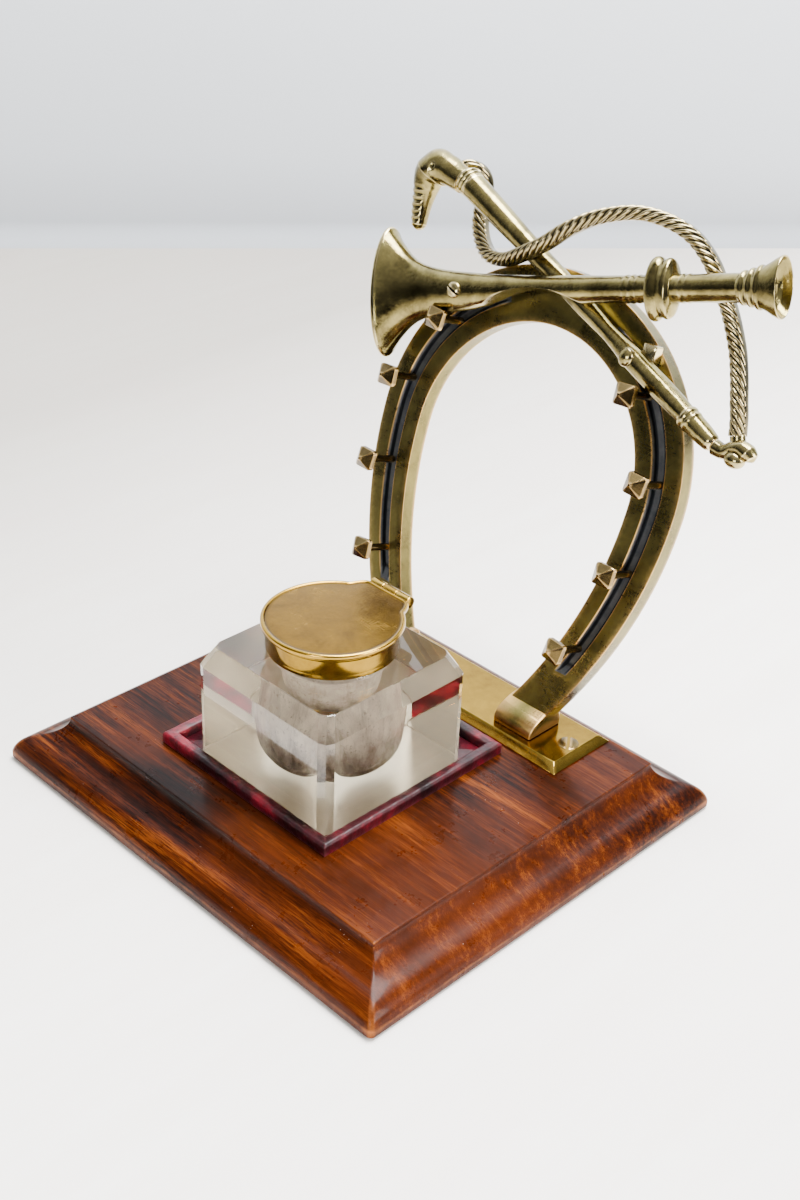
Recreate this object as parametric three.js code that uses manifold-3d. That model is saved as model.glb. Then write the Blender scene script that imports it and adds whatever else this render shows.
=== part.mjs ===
// Hunting inkstand: a square glass inkwell in a leather-lined tray on a moulded
// mahogany board, with a leaning brass horseshoe that carries a hunting horn
// and a riding crop. Millimetres, Z up, X along the front edge, Y to the back.
import * as THREE from 'three';
import { mergeVertices } from 'three/addons/utils/BufferGeometryUtils.js';
import Module from 'manifold-3d';

const wasm = await Module();
wasm.setup();
const { Manifold } = wasm;

// ---------------------------------------------------------------- dimensions
const gap = 0.3;                    // clearance where one piece is cut round another

const boardHalfX = 83.2;            // flat top of the board
const boardHalfY = 71.5;
const boardTop = 19.8;
const baizeThick = 0.8;
const mouldingSection = [           // out from the top edge, down from the top
  [0, 0], [0, 1.6], [1.2, 3.6], [4.5, 6.4], [8.5, 8.6],
  [12.1, 10.2], [15.0, 12.4], [16.5, 14.8], [16.8, 16.2], [16.8, boardTop - baizeThick],
];
const mouldingOut = 16.8;
const cornerRound = 2.0;            // upright corners of the moulding

const plateHalfX = 64.0;            // brass plate under the horseshoe
const plateFront = 38.1;
const plateBack = 69.8;
const plateThick = 3.2;
const plateBevel = 3.0;
const plateScrewX = 57.0;
const plateScrewRadius = 4.0;

const trayX = -3.0;                 // leather tray for the bottle
const trayY = -10.3;
const trayHalf = 44.5;
const railWide = 4.8;
const railTall = 4.6;
const linerThick = 1.2;

const bottleX = 1.4;                // glass bottle and its brass lid
const bottleY = -15.3;
const bottleHalf = 34.4;
const bottleTopHalf = 30.3;
const bottleFoot = boardTop + linerThick;
const bottleShoulder = 59.8;
const bottleTop = 67.5;
const bottleArris = 2.6;
const neckRadius = 20.4;
const neckTop = 77.0;
const wellRadius = 18.0;
const wellFloor = 26.4;
const mouthRadius = 15.0;
const collarRadius = 24.0;
const collarBottom = 69.9;
const lidBottom = 79.0;
const lidTop = 81.1;
const lidRadius = 25.5;
const hingeBack = 28.8;             // hinge line behind the lid's centre
const hingeHeight = 79.4;
const hingeRadius = 2.3;
const hingeLong = 19.0;
const pinRadius = 0.9;

const lean = 19.06 * Math.PI / 180; // horseshoe leans back from upright
const shoeY = 49.6;                 // front face where it meets the plate
const shoeThick = 7.5;
const shoeOuterHalf = 71.5;
const shoeOuterRise = 70.5;
const shoeOuterWidest = 95.0;
const shoeInnerHalf = 52.0;
const shoeInnerRise = 52.3;
const shoeInnerWidest = 92.0;
const shoeTaper = 0.0033;           // how fast the branches draw in below the widest line
const grooveHalf = 2.6;
const grooveDeep = 2.0;
const grooveBottom = 27.0;
const grooveTopAngle = 60 * Math.PI / 180;
const footHalf = 9.2;
const footX = 37.2;
const footFront = 44.0;
const footBack = 61.5;
const footTall = 8.5;

const nailPlaces = [                // across, up the shoe
  [46.0, 133.0], [61.4, 105.5], [60.6, 71.4], [50.4, 37.5],
];
const nailShank = 1.6;
const nailReach = 13.0;             // shank length in front of the face
const nailHead = 8.0;
const nailHeadThick = 2.4;
const nailPoint = 3.6;

const hornStart = [-77.2, 134.5];   // centre of the bell mouth: across, up the shoe
const hornAngle = 16.6 * Math.PI / 180;
const hornFront = 9.5;              // axis in front of the face
const hornLong = 158.0;
const hornNotchAt = 72.0;
const hornNotchRadius = 45.0;
const hornScrewAt = 38.0;
const mouthpieceLong = 15.0;
const knobAt = 127.0;
const knobThick = 9.0;
const knobRadius = 11.3;
const roundUpTo = 4.5;              // the horn is round up to this radius
const flatness = 0.27;              // and grows this much slower out from the shoe

const cropStart = [-58.0, 184.8];   // handle end of the crop's shaft
const cropEnd = [80.5, 126.5];
const cropFront = 4.6;
const cropRadius = 4.1;
const cropRivetAt = 104.0;
const thongHalf = 2.6;
const thongOut = 3.3;

// ------------------------------------------------------------------- helpers
const solid = (geometry) => {
  const bare = geometry.clone();
  bare.deleteAttribute('normal');
  bare.deleteAttribute('uv');
  const welded = mergeVertices(bare, 1e-4);
  return new Manifold(new wasm.Mesh({
    numProp: 3,
    vertProperties: new Float32Array(welded.attributes.position.array),
    triVerts: new Uint32Array(welded.index.array),
  }));
};

const geometryOf = (body) => {
  const mesh = body.getMesh();
  const geometry = new THREE.BufferGeometry();
  geometry.setAttribute('position', new THREE.BufferAttribute(mesh.vertProperties, 3));
  geometry.setIndex(new THREE.BufferAttribute(mesh.triVerts, 1));
  const loose = geometry.toNonIndexed();
  loose.computeVertexNormals();
  return loose;
};

const shapeOf = (points) => new THREE.Shape(points.map(([x, y]) => new THREE.Vector2(x, y)));

// A flat outline in X and Y raised from z0 to z1.
const raised = (points, z0, z1) => {
  const geometry = new THREE.ExtrudeGeometry(shapeOf(points), { depth: z1 - z0, bevelEnabled: false });
  return solid(geometry.translate(0, 0, z0));
};

// A block given by its two opposite corners.
const block = (x0, y0, z0, x1, y1, z1) => {
  const geometry = new THREE.BoxGeometry(x1 - x0, y1 - y0, z1 - z0);
  return solid(geometry.translate((x0 + x1) / 2, (y0 + y1) / 2, (z0 + z1) / 2));
};

// A turned body about Z from [radius, height] pairs that begin and end on the axis.
const turned = (profile, sides) => {
  const points = profile.map(([r, h]) => new THREE.Vector2(r, h));
  return solid(new THREE.LatheGeometry(points, sides).rotateX(Math.PI / 2));
};

const rod = (radius, long, sides) => solid(
  new THREE.CylinderGeometry(radius, radius, long, sides).rotateX(Math.PI / 2),
);

// A block whose sides draw in towards the top by "inset".
const bevelled = (halfX, halfY, z0, z1, bevel, inset) => {
  const edge = [[-halfX, z0], [halfX, z0], [halfX, z1 - bevel], [halfX - inset, z1]];
  const along = [...edge, [-halfX + inset, z1], [-halfX, z1 - bevel]];
  const side = [[-halfY, z0], [halfY, z0], [halfY, z1 - bevel]];
  const across = [...side, [halfY - inset, z1], [-halfY + inset, z1], [-halfY, z1 - bevel]];
  const long = new THREE.ExtrudeGeometry(shapeOf(along), { depth: 4 * halfY, bevelEnabled: false });
  const wide = new THREE.ExtrudeGeometry(shapeOf(across), { depth: 4 * halfX, bevelEnabled: false });
  const first = solid(long.rotateX(Math.PI / 2).translate(0, 2 * halfY, 0));
  const second = solid(wide.rotateX(Math.PI / 2).rotateZ(Math.PI / 2).translate(-2 * halfX, 0, 0));
  return first.intersect(second);
};

const object = new THREE.Group();

const material = (colour, roughness, metalness) => new THREE.MeshStandardMaterial({
  color: colour, roughness, metalness,
});
const mahogany = material(0x6e2a12, 0.32, 0);
const baize = material(0x5f8f8c, 0.95, 0);
const leather = material(0x5a1020, 0.5, 0);
const polishedBrass = material(0xc9a24a, 0.22, 1);
const agedBrass = material(0x86763c, 0.35, 1);
const darkBrass = material(0x6a5230, 0.4, 1);
const castBrass = material(0x7c6a3e, 0.35, 1);
const glass = material(0xe6e6da, 0.05, 0);
glass.transparent = true;
glass.opacity = 0.35;

const place = (parent, name, body, look) => {
  const mesh = new THREE.Mesh(geometryOf(body), look);
  mesh.name = name;
  parent.add(mesh);
  return mesh;
};

// --------------------------------------------------------------------- board
const mouldedSide = (half) => {
  const right = mouldingSection.map(([out, down]) => [half + out, boardTop - down]);
  const left = right.map(([x, z]) => [-x, z]).reverse();
  return [...right, ...left];
};

const prismAlongY = (outline, halfLong) => {
  const geometry = new THREE.ExtrudeGeometry(shapeOf(outline), { depth: 2 * halfLong, bevelEnabled: false });
  return solid(geometry.rotateX(Math.PI / 2).translate(0, halfLong, 0));
};

const prismAlongX = (outline, halfLong) => {
  const geometry = new THREE.ExtrudeGeometry(shapeOf(outline), { depth: 2 * halfLong, bevelEnabled: false });
  geometry.rotateX(Math.PI / 2).rotateZ(Math.PI / 2);
  return solid(geometry.translate(-halfLong, 0, 0));
};

const roundedBlock = (halfX, halfY, radius, z0, z1) => {
  const shape = new THREE.Shape();
  shape.moveTo(-halfX + radius, -halfY);
  for (const [cx, cy, from] of [
    [halfX - radius, -halfY + radius, -0.5], [halfX - radius, halfY - radius, 0],
    [-halfX + radius, halfY - radius, 0.5], [-halfX + radius, -halfY + radius, 1],
  ]) {
    shape.absarc(cx, cy, radius, from * Math.PI, (from + 0.5) * Math.PI, false);
  }
  const geometry = new THREE.ExtrudeGeometry(shape, {
    depth: z1 - z0, bevelEnabled: false, curveSegments: 5,
  });
  return solid(geometry.translate(0, 0, z0));
};

const outerX = boardHalfX + mouldingOut;
const outerY = boardHalfY + mouldingOut;
const board = prismAlongY(mouldedSide(boardHalfX), outerY + 5)
  .intersect(prismAlongX(mouldedSide(boardHalfY), outerX + 5))
  .intersect(roundedBlock(outerX, outerY, cornerRound, 0, boardTop + 1));
place(object, 'base_board', board, mahogany);
place(object, 'baize_pad', roundedBlock(outerX - 2, outerY - 2, cornerRound, 0, baizeThick), baize);

// ---------------------------------------------------------------------- tray
const tray = new THREE.Group();
tray.position.set(trayX, trayY, boardTop);
object.add(tray);
const railIn = trayHalf - railWide;
const railShape = [[-trayHalf, -trayHalf], [trayHalf, -trayHalf], [railIn, -railIn], [-railIn, -railIn]];
['front', 'right', 'back', 'left'].forEach((side, turn) => {
  const rail = raised(railShape, 0, railTall).subtract(
    block(-trayHalf - 1, -trayHalf - 1, railTall - 0.7, trayHalf + 1, -trayHalf + 0.7, railTall + 1),
  );
  const mesh = place(tray, `tray_rail_${side}`, rail, leather);
  mesh.rotation.z = turn * Math.PI / 2;
});
place(tray, 'tray_liner', block(-railIn, -railIn, 0, railIn, railIn, linerThick), leather);

// ------------------------------------------------------------ bottle and lid
const bottle = new THREE.Group();
bottle.position.set(bottleX, bottleY, 0);
object.add(bottle);

const glassBlock = bevelled(
  bottleHalf, bottleHalf, bottleFoot, bottleTop, bottleTop - bottleShoulder, bottleHalf - bottleTopHalf,
);
const cornerReach = bottleHalf - bottleArris;
const arris = raised([
  [-bottleHalf, -cornerReach], [-cornerReach, -bottleHalf], [cornerReach, -bottleHalf],
  [bottleHalf, -cornerReach], [bottleHalf, cornerReach], [cornerReach, bottleHalf],
  [-cornerReach, bottleHalf], [-bottleHalf, cornerReach],
], bottleFoot - 1, bottleTop + 1);
const neck = rod(neckRadius, neckTop - bottleTop + 1, 40).translate([0, 0, (neckTop + bottleTop - 1) / 2]);
const well = turned([
  [0, wellFloor], [8, wellFloor + 0.3], [12.4, wellFloor + 2.0], [15.2, wellFloor + 5.2],
  [16.8, wellFloor + 11.0], [wellRadius, 50], [wellRadius, 58], [17.0, 62], [mouthRadius, 65],
  [mouthRadius, neckTop + 1], [0, neckTop + 1],
], 40);
place(bottle, 'ink_bottle', glassBlock.intersect(arris).add(neck).subtract(well), glass);

const hingeRod = (radius, x0, x1) => solid(
  new THREE.CylinderGeometry(radius, radius, x1 - x0, 20).rotateZ(Math.PI / 2)
    .translate((x0 + x1) / 2, hingeBack, hingeHeight),
);
const hingeBore = hingeRod(pinRadius + 0.05, -hingeLong, hingeLong);
const knuckle = hingeLong / 3;
const hingeTab = (x0, x1, z0, z1) => block(x0, collarRadius - 4, z0, x1, hingeBack, z1);

const collarRing = turned([
  [neckRadius + gap, collarBottom], [collarRadius - 0.5, collarBottom],
  [collarRadius, collarBottom + 0.6], [collarRadius, lidBottom - gap], [mouthRadius + 1, lidBottom - gap],
  [mouthRadius + 1, neckTop + gap], [neckRadius + gap, neckTop + gap],
  [neckRadius + gap, collarBottom],
], 48);
const lidSweep = hingeRod(hingeRadius + gap, -knuckle / 2 - gap, knuckle / 2 + gap);
const collarTabs = hingeTab(-hingeLong / 2, -knuckle / 2 - gap, hingeHeight - hingeRadius, lidBottom - gap)
  .add(hingeTab(knuckle / 2 + gap, hingeLong / 2, hingeHeight - hingeRadius, lidBottom - gap))
  .subtract(rod(collarRadius - 1, 40, 48).translate([0, 0, hingeHeight]));
const collar = collarRing.add(collarTabs)
  .add(hingeRod(hingeRadius, -hingeLong / 2, -knuckle / 2 - gap))
  .add(hingeRod(hingeRadius, knuckle / 2 + gap, hingeLong / 2))
  .subtract(lidSweep).subtract(hingeBore);
place(bottle, 'bottle_collar', collar, polishedBrass);
place(bottle, 'hinge_pin', hingeRod(pinRadius, -hingeLong / 2, hingeLong / 2), polishedBrass);

const lidDisc = turned([
  [0, lidBottom], [lidRadius - 0.6, lidBottom], [lidRadius, lidBottom + 0.6],
  [lidRadius, lidTop - 0.7], [lidRadius - 0.5, lidTop - 0.1], [lidRadius - 1.2, lidTop],
  [lidRadius - 2.2, lidTop - 0.3], [0, lidTop],
], 56);
const collarSweepLeft = hingeRod(hingeRadius + gap, -hingeLong / 2 - gap, -knuckle / 2);
const collarSweepRight = hingeRod(hingeRadius + gap, knuckle / 2, hingeLong / 2 + gap);
const lidTab = raised([
  [-knuckle / 2, hingeBack], [-9, 24], [-13, 20], [13, 20], [9, 24], [knuckle / 2, hingeBack],
], lidBottom, lidTop - 0.4);
const lid = lidDisc.add(lidTab).add(hingeRod(hingeRadius, -knuckle / 2, knuckle / 2))
  .subtract(collarSweepLeft).subtract(collarSweepRight).subtract(hingeBore)
  .subtract(block(-20, hingeBack - 3, 70, 20, 40, lidBottom).subtract(
    hingeRod(hingeRadius + 1, -knuckle / 2, knuckle / 2)));
place(bottle, 'lid', lid, polishedBrass);

// --------------------------------------------------------------- brass plate
const plateMid = (plateFront + plateBack) / 2;
const plate = bevelled(
  plateHalfX, (plateBack - plateFront) / 2, boardTop, boardTop + plateThick, plateThick - 0.6, plateBevel,
).translate([0, plateMid, 0]);
const plateTop = boardTop + plateThick;
const screwHole = turned([
  [0, boardTop - 1], [2, boardTop - 1], [2, plateTop - 1.6],
  [plateScrewRadius + gap, plateTop - 1.6], [plateScrewRadius + gap, plateTop + 1], [0, plateTop + 1],
], 24);
const screw = turned([
  [0, boardTop], [1.7, boardTop], [1.7, plateTop - 1.3], [plateScrewRadius, plateTop - 1.3],
  [plateScrewRadius, plateTop - 0.1], [plateScrewRadius - 1.2, plateTop + 0.5], [0, plateTop + 0.8],
], 24).subtract(block(-6, -0.6, plateTop - 0.3, 6, 0.6, plateTop + 2).rotate([0, 0, 35]));
let drilledPlate = plate;
for (const side of [-1, 1]) {
  drilledPlate = drilledPlate.subtract(screwHole.translate([side * plateScrewX, plateMid, 0]));
  const mesh = place(object, side < 0 ? 'plate_screw_left' : 'plate_screw_right', screw, darkBrass);
  mesh.position.set(side * plateScrewX, plateMid, 0);
}
place(object, 'stand_plate', drilledPlate, polishedBrass);

// -------------------------------------------------------- leaning horseshoe
// Inside this group X runs across the shoe, Z up its face and -Y out of its face.
const trophy = new THREE.Group();
trophy.position.set(0, shoeY, plateTop);
trophy.rotation.x = -lean;
object.add(trophy);
trophy.updateMatrixWorld();

const shoeCurve = (half, rise, widest, steps) => {
  const points = [];
  for (let i = 0; i <= steps; i += 1) {
    const z = -12 + (widest + 12) * i / steps;
    points.push([half - shoeTaper * (widest - z) ** 2, z]);
  }
  for (let i = 1; i <= steps * 2; i += 1) {
    const angle = (i / (steps * 2)) * Math.PI / 2;
    points.push([half * Math.cos(angle), widest + rise * Math.sin(angle)]);
  }
  return points;
};
const mirrored = (points) => points.map(([x, z]) => [-x, z]).reverse();
const outerCurve = shoeCurve(shoeOuterHalf, shoeOuterRise, shoeOuterWidest, 8);
const innerCurve = shoeCurve(shoeInnerHalf, shoeInnerRise, shoeInnerWidest, 8);

// An outline in X and Z given thickness from y0 (front) to y1 (back).
const slab = (points, y0, y1) => {
  const geometry = new THREE.ExtrudeGeometry(shapeOf(points), { depth: y1 - y0, bevelEnabled: false });
  return solid(geometry.rotateX(Math.PI / 2).translate(0, y1, 0));
};

const shoeOutline = [
  ...outerCurve.slice(0, -1), ...mirrored(outerCurve),
  ...mirrored(innerCurve).reverse().slice(0, -1), ...mirrored(mirrored(innerCurve)).slice().reverse(),
];
const grooveOutline = () => {
  const inside = [];
  const outside = [];
  const midHalf = (shoeOuterHalf + shoeInnerHalf) / 2;
  const midRise = (shoeOuterRise + shoeInnerRise) / 2;
  const midWidest = (shoeOuterWidest + shoeInnerWidest) / 2;
  for (let i = 0; i <= 6; i += 1) {
    const z = grooveBottom + (midWidest - grooveBottom) * i / 6;
    const x = midHalf - shoeTaper * (midWidest - z) ** 2;
    inside.push([x - grooveHalf, z]);
    outside.push([x + grooveHalf, z]);
  }
  for (let i = 1; i <= 8; i += 1) {
    const angle = grooveTopAngle * i / 8;
    const across = Math.cos(angle);
    const up = Math.sin(angle);
    inside.push([(midHalf - grooveHalf) * across, midWidest + (midRise - grooveHalf) * up]);
    outside.push([(midHalf + grooveHalf) * across, midWidest + (midRise + grooveHalf) * up]);
  }
  return [...outside, ...inside.reverse()];
};
const groove = slab(grooveOutline(), -1, grooveDeep);
let shoe = slab(shoeOutline, 0, shoeThick).subtract(groove).subtract(groove.mirror([1, 0, 0]));

// Feet forged forward at the heels, built upright and then turned into the shoe's frame.
const footSide = [
  [footFront, plateTop - 3], [footBack, plateTop - 3], [footBack, plateTop + 5],
  [footBack - 4, plateTop + footTall], [footBack - 9, plateTop + footTall - 0.6],
  [footFront + 1.6, plateTop + 3.4], [footFront, plateTop + 2.2],
];
const footBlock = (side) => {
  const shape = new THREE.Shape(footSide.map(([y, z]) => new THREE.Vector2(y, z)));
  const geometry = new THREE.ExtrudeGeometry(shape, { depth: 2 * footHalf, bevelEnabled: false });
  geometry.rotateX(Math.PI / 2).rotateZ(Math.PI / 2);
  return solid(geometry.translate(side * footX - footHalf, 0, 0));
};
const intoTrophy = (body) => {
  const turnedBody = body.translate([0, -shoeY, -plateTop]);
  return turnedBody.rotate([lean * 180 / Math.PI, 0, 0]);
};
const plateCut = intoTrophy(block(-200, -200, -200, 200, 300, plateTop + gap));
for (const side of [-1, 1]) {
  shoe = shoe.add(intoTrophy(footBlock(side)));
}
shoe = shoe.subtract(plateCut);

// Nails with square pointed heads, standing out of the groove.
const pegOut = (radius, from, to, sides) => {
  const geometry = new THREE.CylinderGeometry(radius, radius, to - from, sides);
  return solid(geometry).translate([0, -(from + to) / 2, 0]);
};
const nailHeadBody = (half, front, point) => {
  const plateGeometry = new THREE.BoxGeometry(2 * half, nailHeadThick, 2 * half);
  const spike = new THREE.ConeGeometry(half * Math.SQRT2, point, 4).rotateY(Math.PI / 4);
  const spikeBody = solid(spike.rotateX(Math.PI));
  return solid(plateGeometry.translate(0, -front - nailHeadThick / 2, 0))
    .add(spikeBody.translate([0, -front - nailHeadThick - point / 2 + 0.01, 0]));
};
const nail = pegOut(nailShank, -3.6, nailReach + 0.5, 12)
  .add(nailHeadBody(nailHead / 2, nailReach, nailPoint));
const nailSocket = pegOut(nailShank + gap / 2, -4, 6, 12);
const nailClear = pegOut(nailShank + gap, -2, nailReach + 1, 12)
  .add(nailHeadBody(nailHead / 2 + gap, nailReach - gap, nailPoint + 2 * gap));
let nailSpace = null;
nailPlaces.forEach(([across, up], row) => {
  for (const side of [-1, 1]) {
    const at = [side * across, 0, up];
    shoe = shoe.subtract(nailSocket.translate(at));
    const mesh = place(trophy, `nail_${side < 0 ? 'left' : 'right'}_${row + 1}`, nail, darkBrass);
    mesh.position.set(...at);
    const clear = nailClear.translate(at);
    nailSpace = nailSpace ? nailSpace.add(clear) : clear;
  }
});

// ---------------------------------------------------------------- crop
const cropLong = Math.hypot(cropEnd[0] - cropStart[0], cropEnd[1] - cropStart[1]);
const cropAngle = Math.atan2(cropEnd[1] - cropStart[1], cropEnd[0] - cropStart[0]);
// Lays a body built along Z onto a line in the shoe's plane.
const laid = (body, start, angle, front) => body
  .rotate([0, 90, 0]).rotate([0, -angle * 180 / Math.PI, 0])
  .translate([start[0], -front, start[1]]);
const onCrop = (body) => laid(body, cropStart, cropAngle, cropFront);
const cropProfile = (extra) => [
  [0, 4], [cropRadius + 1.1 + extra, 4], [cropRadius + 0.8 + extra, 18], [cropRadius + extra, 44],
  [cropRadius + extra, 60], [cropRadius - 0.2 + extra, 76], [cropRadius - 0.9 + extra, 90],
  [cropRadius + 0.3 + extra, 103], [cropRadius + 0.2 + extra, 128], [cropRadius - 0.4 + extra, cropLong - 16],
  [0, cropLong - 16],
];
const cropPoint = (along) => [
  cropStart[0] + along * Math.cos(cropAngle), cropStart[1] + along * Math.sin(cropAngle),
];
const rivetPoint = cropPoint(cropRivetAt);
const rivet = pegOut(1.5, -3, 9, 14).add(
  turned([[0, 8.4], [3.1, 8.4], [3.1, 9.2], [2.3, 10.2], [0, 10.7]], 20).rotate([90, 0, 0]),
).translate([rivetPoint[0], 0, rivetPoint[1]]);
const rivetBore = pegOut(1.5 + gap, -3.3, 20, 14)
  .add(pegOut(3.1 + gap, 8.1, 20, 20)).translate([rivetPoint[0], 0, rivetPoint[1]]);
const cropShaft = onCrop(turned(cropProfile(0), 20)).subtract(rivetBore);
const cropClear = onCrop(turned(cropProfile(gap), 20));

const hornScrewPoint = [
  hornStart[0] + hornScrewAt * Math.cos(hornAngle), hornStart[1] + hornScrewAt * Math.sin(hornAngle),
];
const hornScrewTop = 14.9;
const hornScrew = pegOut(1.5, -3, hornScrewTop, 14).add(
  turned([
    [0, hornScrewTop - 1], [3.1, hornScrewTop - 1], [3.1, hornScrewTop], [2.2, hornScrewTop + 1.3],
    [0, hornScrewTop + 1.8],
  ], 20).rotate([90, 0, 0]),
).subtract(block(-5, -hornScrewTop - 3, -0.5, 5, -hornScrewTop - 0.4, 0.5).rotate([0, 25, 0]))
  .translate([hornScrewPoint[0], 0, hornScrewPoint[1]]);
const hornScrewBore = pegOut(1.5 + gap, -3.3, 30, 14)
  .add(pegOut(3.1 + gap, hornScrewTop - 1.3, 30, 20))
  .translate([hornScrewPoint[0], 0, hornScrewPoint[1]]);

shoe = shoe.subtract(rivetBore).subtract(hornScrewBore);
place(trophy, 'horseshoe', shoe, agedBrass);
place(trophy, 'crop_rivet', rivet, castBrass);
place(trophy, 'horn_screw', hornScrew, castBrass);

// Grown copy of the shoe used to seat the castings on it.
const shoeClear = slab(
  [...shoeCurve(shoeOuterHalf + gap, shoeOuterRise + gap, shoeOuterWidest, 8).slice(0, -1),
    ...mirrored(shoeCurve(shoeOuterHalf + gap, shoeOuterRise + gap, shoeOuterWidest, 8)),
    ...mirrored(innerCurve).reverse().slice(0, -1), ...innerCurve.slice().reverse()],
  -gap, shoeThick + gap,
);

const bossPoint = cropPoint(110);
const boss = block(-3, -5, 0, 3, -gap, 9).translate([bossPoint[0], 0, bossPoint[1]]).subtract(cropClear);
place(trophy, 'crop_boss', boss, castBrass);

// ---------------------------------------------------------------- thong
// Loop of the crop's thong: across, up the shoe, and out from its face.
const thongRoute = [
  [-64.6, 184.8, 2.0], [-64.1, 187.8, 1.0], [-61.8, 189.2, -0.6], [-58.9, 188.4, -2.4],
  [-56.8, 185.9, -4.0], [-55.7, 182.2, -4.8], [-55.0, 178.2, -4.7], [-53.4, 173.8, -3.6],
  [-50.1, 168.6, -1.4], [-44.2, 163.5, 1.4], [-36.8, 160.6, 4.4],
  [-27.0, 161.6, 7.6], [-17.6, 165.6, 11.6], [-7.4, 172.4, 12.9], [-0.2, 179.8, 11.4],
  [8.4, 186.6, 8], [20.8, 191.8, 5], [32.7, 192.6, 3], [43.4, 190.1, 1.4],
  [51.9, 184.9, 0.3], [58.4, 178.6, -0.2], [64.8, 172.0, 0.2], [71.0, 165.4, 2],
  [76.2, 158.2, 3], [80.6, 150.0, 4], [83.4, 143.6, 4.6], [85.4, 138.6, 4.6], [87.2, 133.0, 4.6],
];
const thongClearRoute = [...thongRoute.slice(0, -1), [87.35, 132.55, 4.6]];
const through = (route) => new THREE.CatmullRomCurve3(
  route.map(([x, up, out]) => new THREE.Vector3(x, -out, up)), false, 'centripetal',
);
// Flat-backed section, across the thong and out from the shoe, its front rounded.
const thongSection = (extra) => [
  [-thongHalf + 0.5 - extra, -thongOut - extra], [thongHalf - 0.5 + extra, -thongOut - extra],
  [thongHalf + extra, -thongOut + 0.5 - extra], [thongHalf + extra, 1.2],
  [thongHalf * 0.72 + extra, 2.5 + extra * 0.7], [thongHalf * 0.28, thongOut + extra],
  [-thongHalf * 0.28, thongOut + extra], [-thongHalf * 0.72 - extra, 2.5 + extra * 0.7],
  [-thongHalf - extra, 1.2], [-thongHalf - extra, -thongOut + 0.5 - extra],
];
// Carries a closed section along a path, its second axis always facing out of the shoe.
const swept = (path, section, steps) => {
  const points = [];
  const faces = [];
  const sides = section.length;
  for (let i = 0; i <= steps; i += 1) {
    const centre = path.getPointAt(i / steps);
    const along = path.getTangentAt(i / steps);
    const length = Math.hypot(along.x, along.z);
    for (const [aside, out] of section) {
      points.push(centre.x + aside * along.z / length, centre.y - out, centre.z - aside * along.x / length);
    }
    for (let k = 0; k < sides && i < steps; k += 1) {
      const a = i * sides + k;
      const b = i * sides + (k + 1) % sides;
      faces.push(a, b + sides, b, a, a + sides, b + sides);
    }
  }
  for (let k = 1; k < sides - 1; k += 1) {
    faces.push(0, k, k + 1);
    faces.push(steps * sides, steps * sides + k + 1, steps * sides + k);
  }
  return new Manifold(new wasm.Mesh({
    numProp: 3, vertProperties: new Float32Array(points), triVerts: new Uint32Array(faces),
  }));
};
const thong = swept(through(thongRoute), thongSection(0), 84);
const thongClear = swept(through(thongClearRoute), thongSection(gap), 84);

// ---------------------------------------------------------------- handle
const handleRoute = [
  [-58.4, 183.2, 4.6], [-62.6, 184.4, 4.6], [-67.6, 185.6, 4.6], [-72.8, 185.8, 4.6],
  [-76.0, 181.4, 4.6], [-76.5, 176.6, 4.6], [-76.3, 171.8, 4.6], [-75.8, 166.8, 4.6], [-74.7, 162.4, 4.6],
];
const ball = (radius, [x, up, out], squash = [1, 1, 1]) => solid(
  new THREE.SphereGeometry(radius, 14, 8).scale(...squash),
).translate([x, -out, up]);
// The hook swells from the neck into a knuckle and tapers to its tip.
const handleRadii = [5.1, 5.4, 6.0, 7.4, 5.9, 4.8, 4.0, 3.4, 2.8];
const handleBeads = handleRoute.map((point, i) => ball(handleRadii[i], point));
let handle = handleBeads[0];
for (let i = 1; i < handleBeads.length; i += 1) {
  handle = handle.add(Manifold.hull([handleBeads[i - 1], handleBeads[i]]));
}
const collarBand = onCrop(turned([
  [0, 0], [5.1, 0], [5.5, 0.9], [5.1, 1.8], [5.5, 2.7], [5.1, 3.6], [5.4, 4.4], [5.1, 5.0], [0, 5.0],
], 20));
const bandSpace = onCrop(turned([[0, -0.02], [7, -0.02], [7, 60], [0, 60]], 20));
place(trophy, 'crop_handle', handle.subtract(bandSpace).subtract(thongClear), castBrass);
place(trophy, 'crop_collar', collarBand.subtract(thongClear), castBrass);
const shaftSpace = onCrop(turned([[0, -1], [7, -1], [7, 5.0], [0, 5.0]], 20));

// ---------------------------------------------------------------- keeper
const ferrule = onCrop(turned([
  [0, cropLong - 16], [4.4, cropLong - 16], [4.6, cropLong - 14.5], [4.1, cropLong - 13.5],
  [4.4, cropLong - 12.4], [4.0, cropLong - 11], [3.6, cropLong - 4], [2.6, cropLong],
  [0, cropLong],
], 20));
place(trophy, 'crop_ferrule', ferrule, castBrass);
const ferruleSpace = onCrop(turned([
  [0, 100], [5, 100], [5, cropLong - 2], [2.9, cropLong + gap], [0, cropLong + gap],
], 20));
const knotNeck = Manifold.hull([
  ball(3.2, [83.6, 126.4, 4.6]), ball(3.0, [89.6, 128.6, 4.8]), ball(2.6, [88.2, 131.2, 4.6]),
]);
const knot = knotNeck
  .add(ball(3.4, [90.0, 125.2, 6.0], [1.15, 0.9, 0.95]))
  .add(ball(3.5, [94.0, 129.4, 5.2], [0.95, 0.9, 1]))
  .subtract(thongClear)
  .subtract(ferruleSpace);
place(trophy, 'whip_knot', knot, castBrass);

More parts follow.
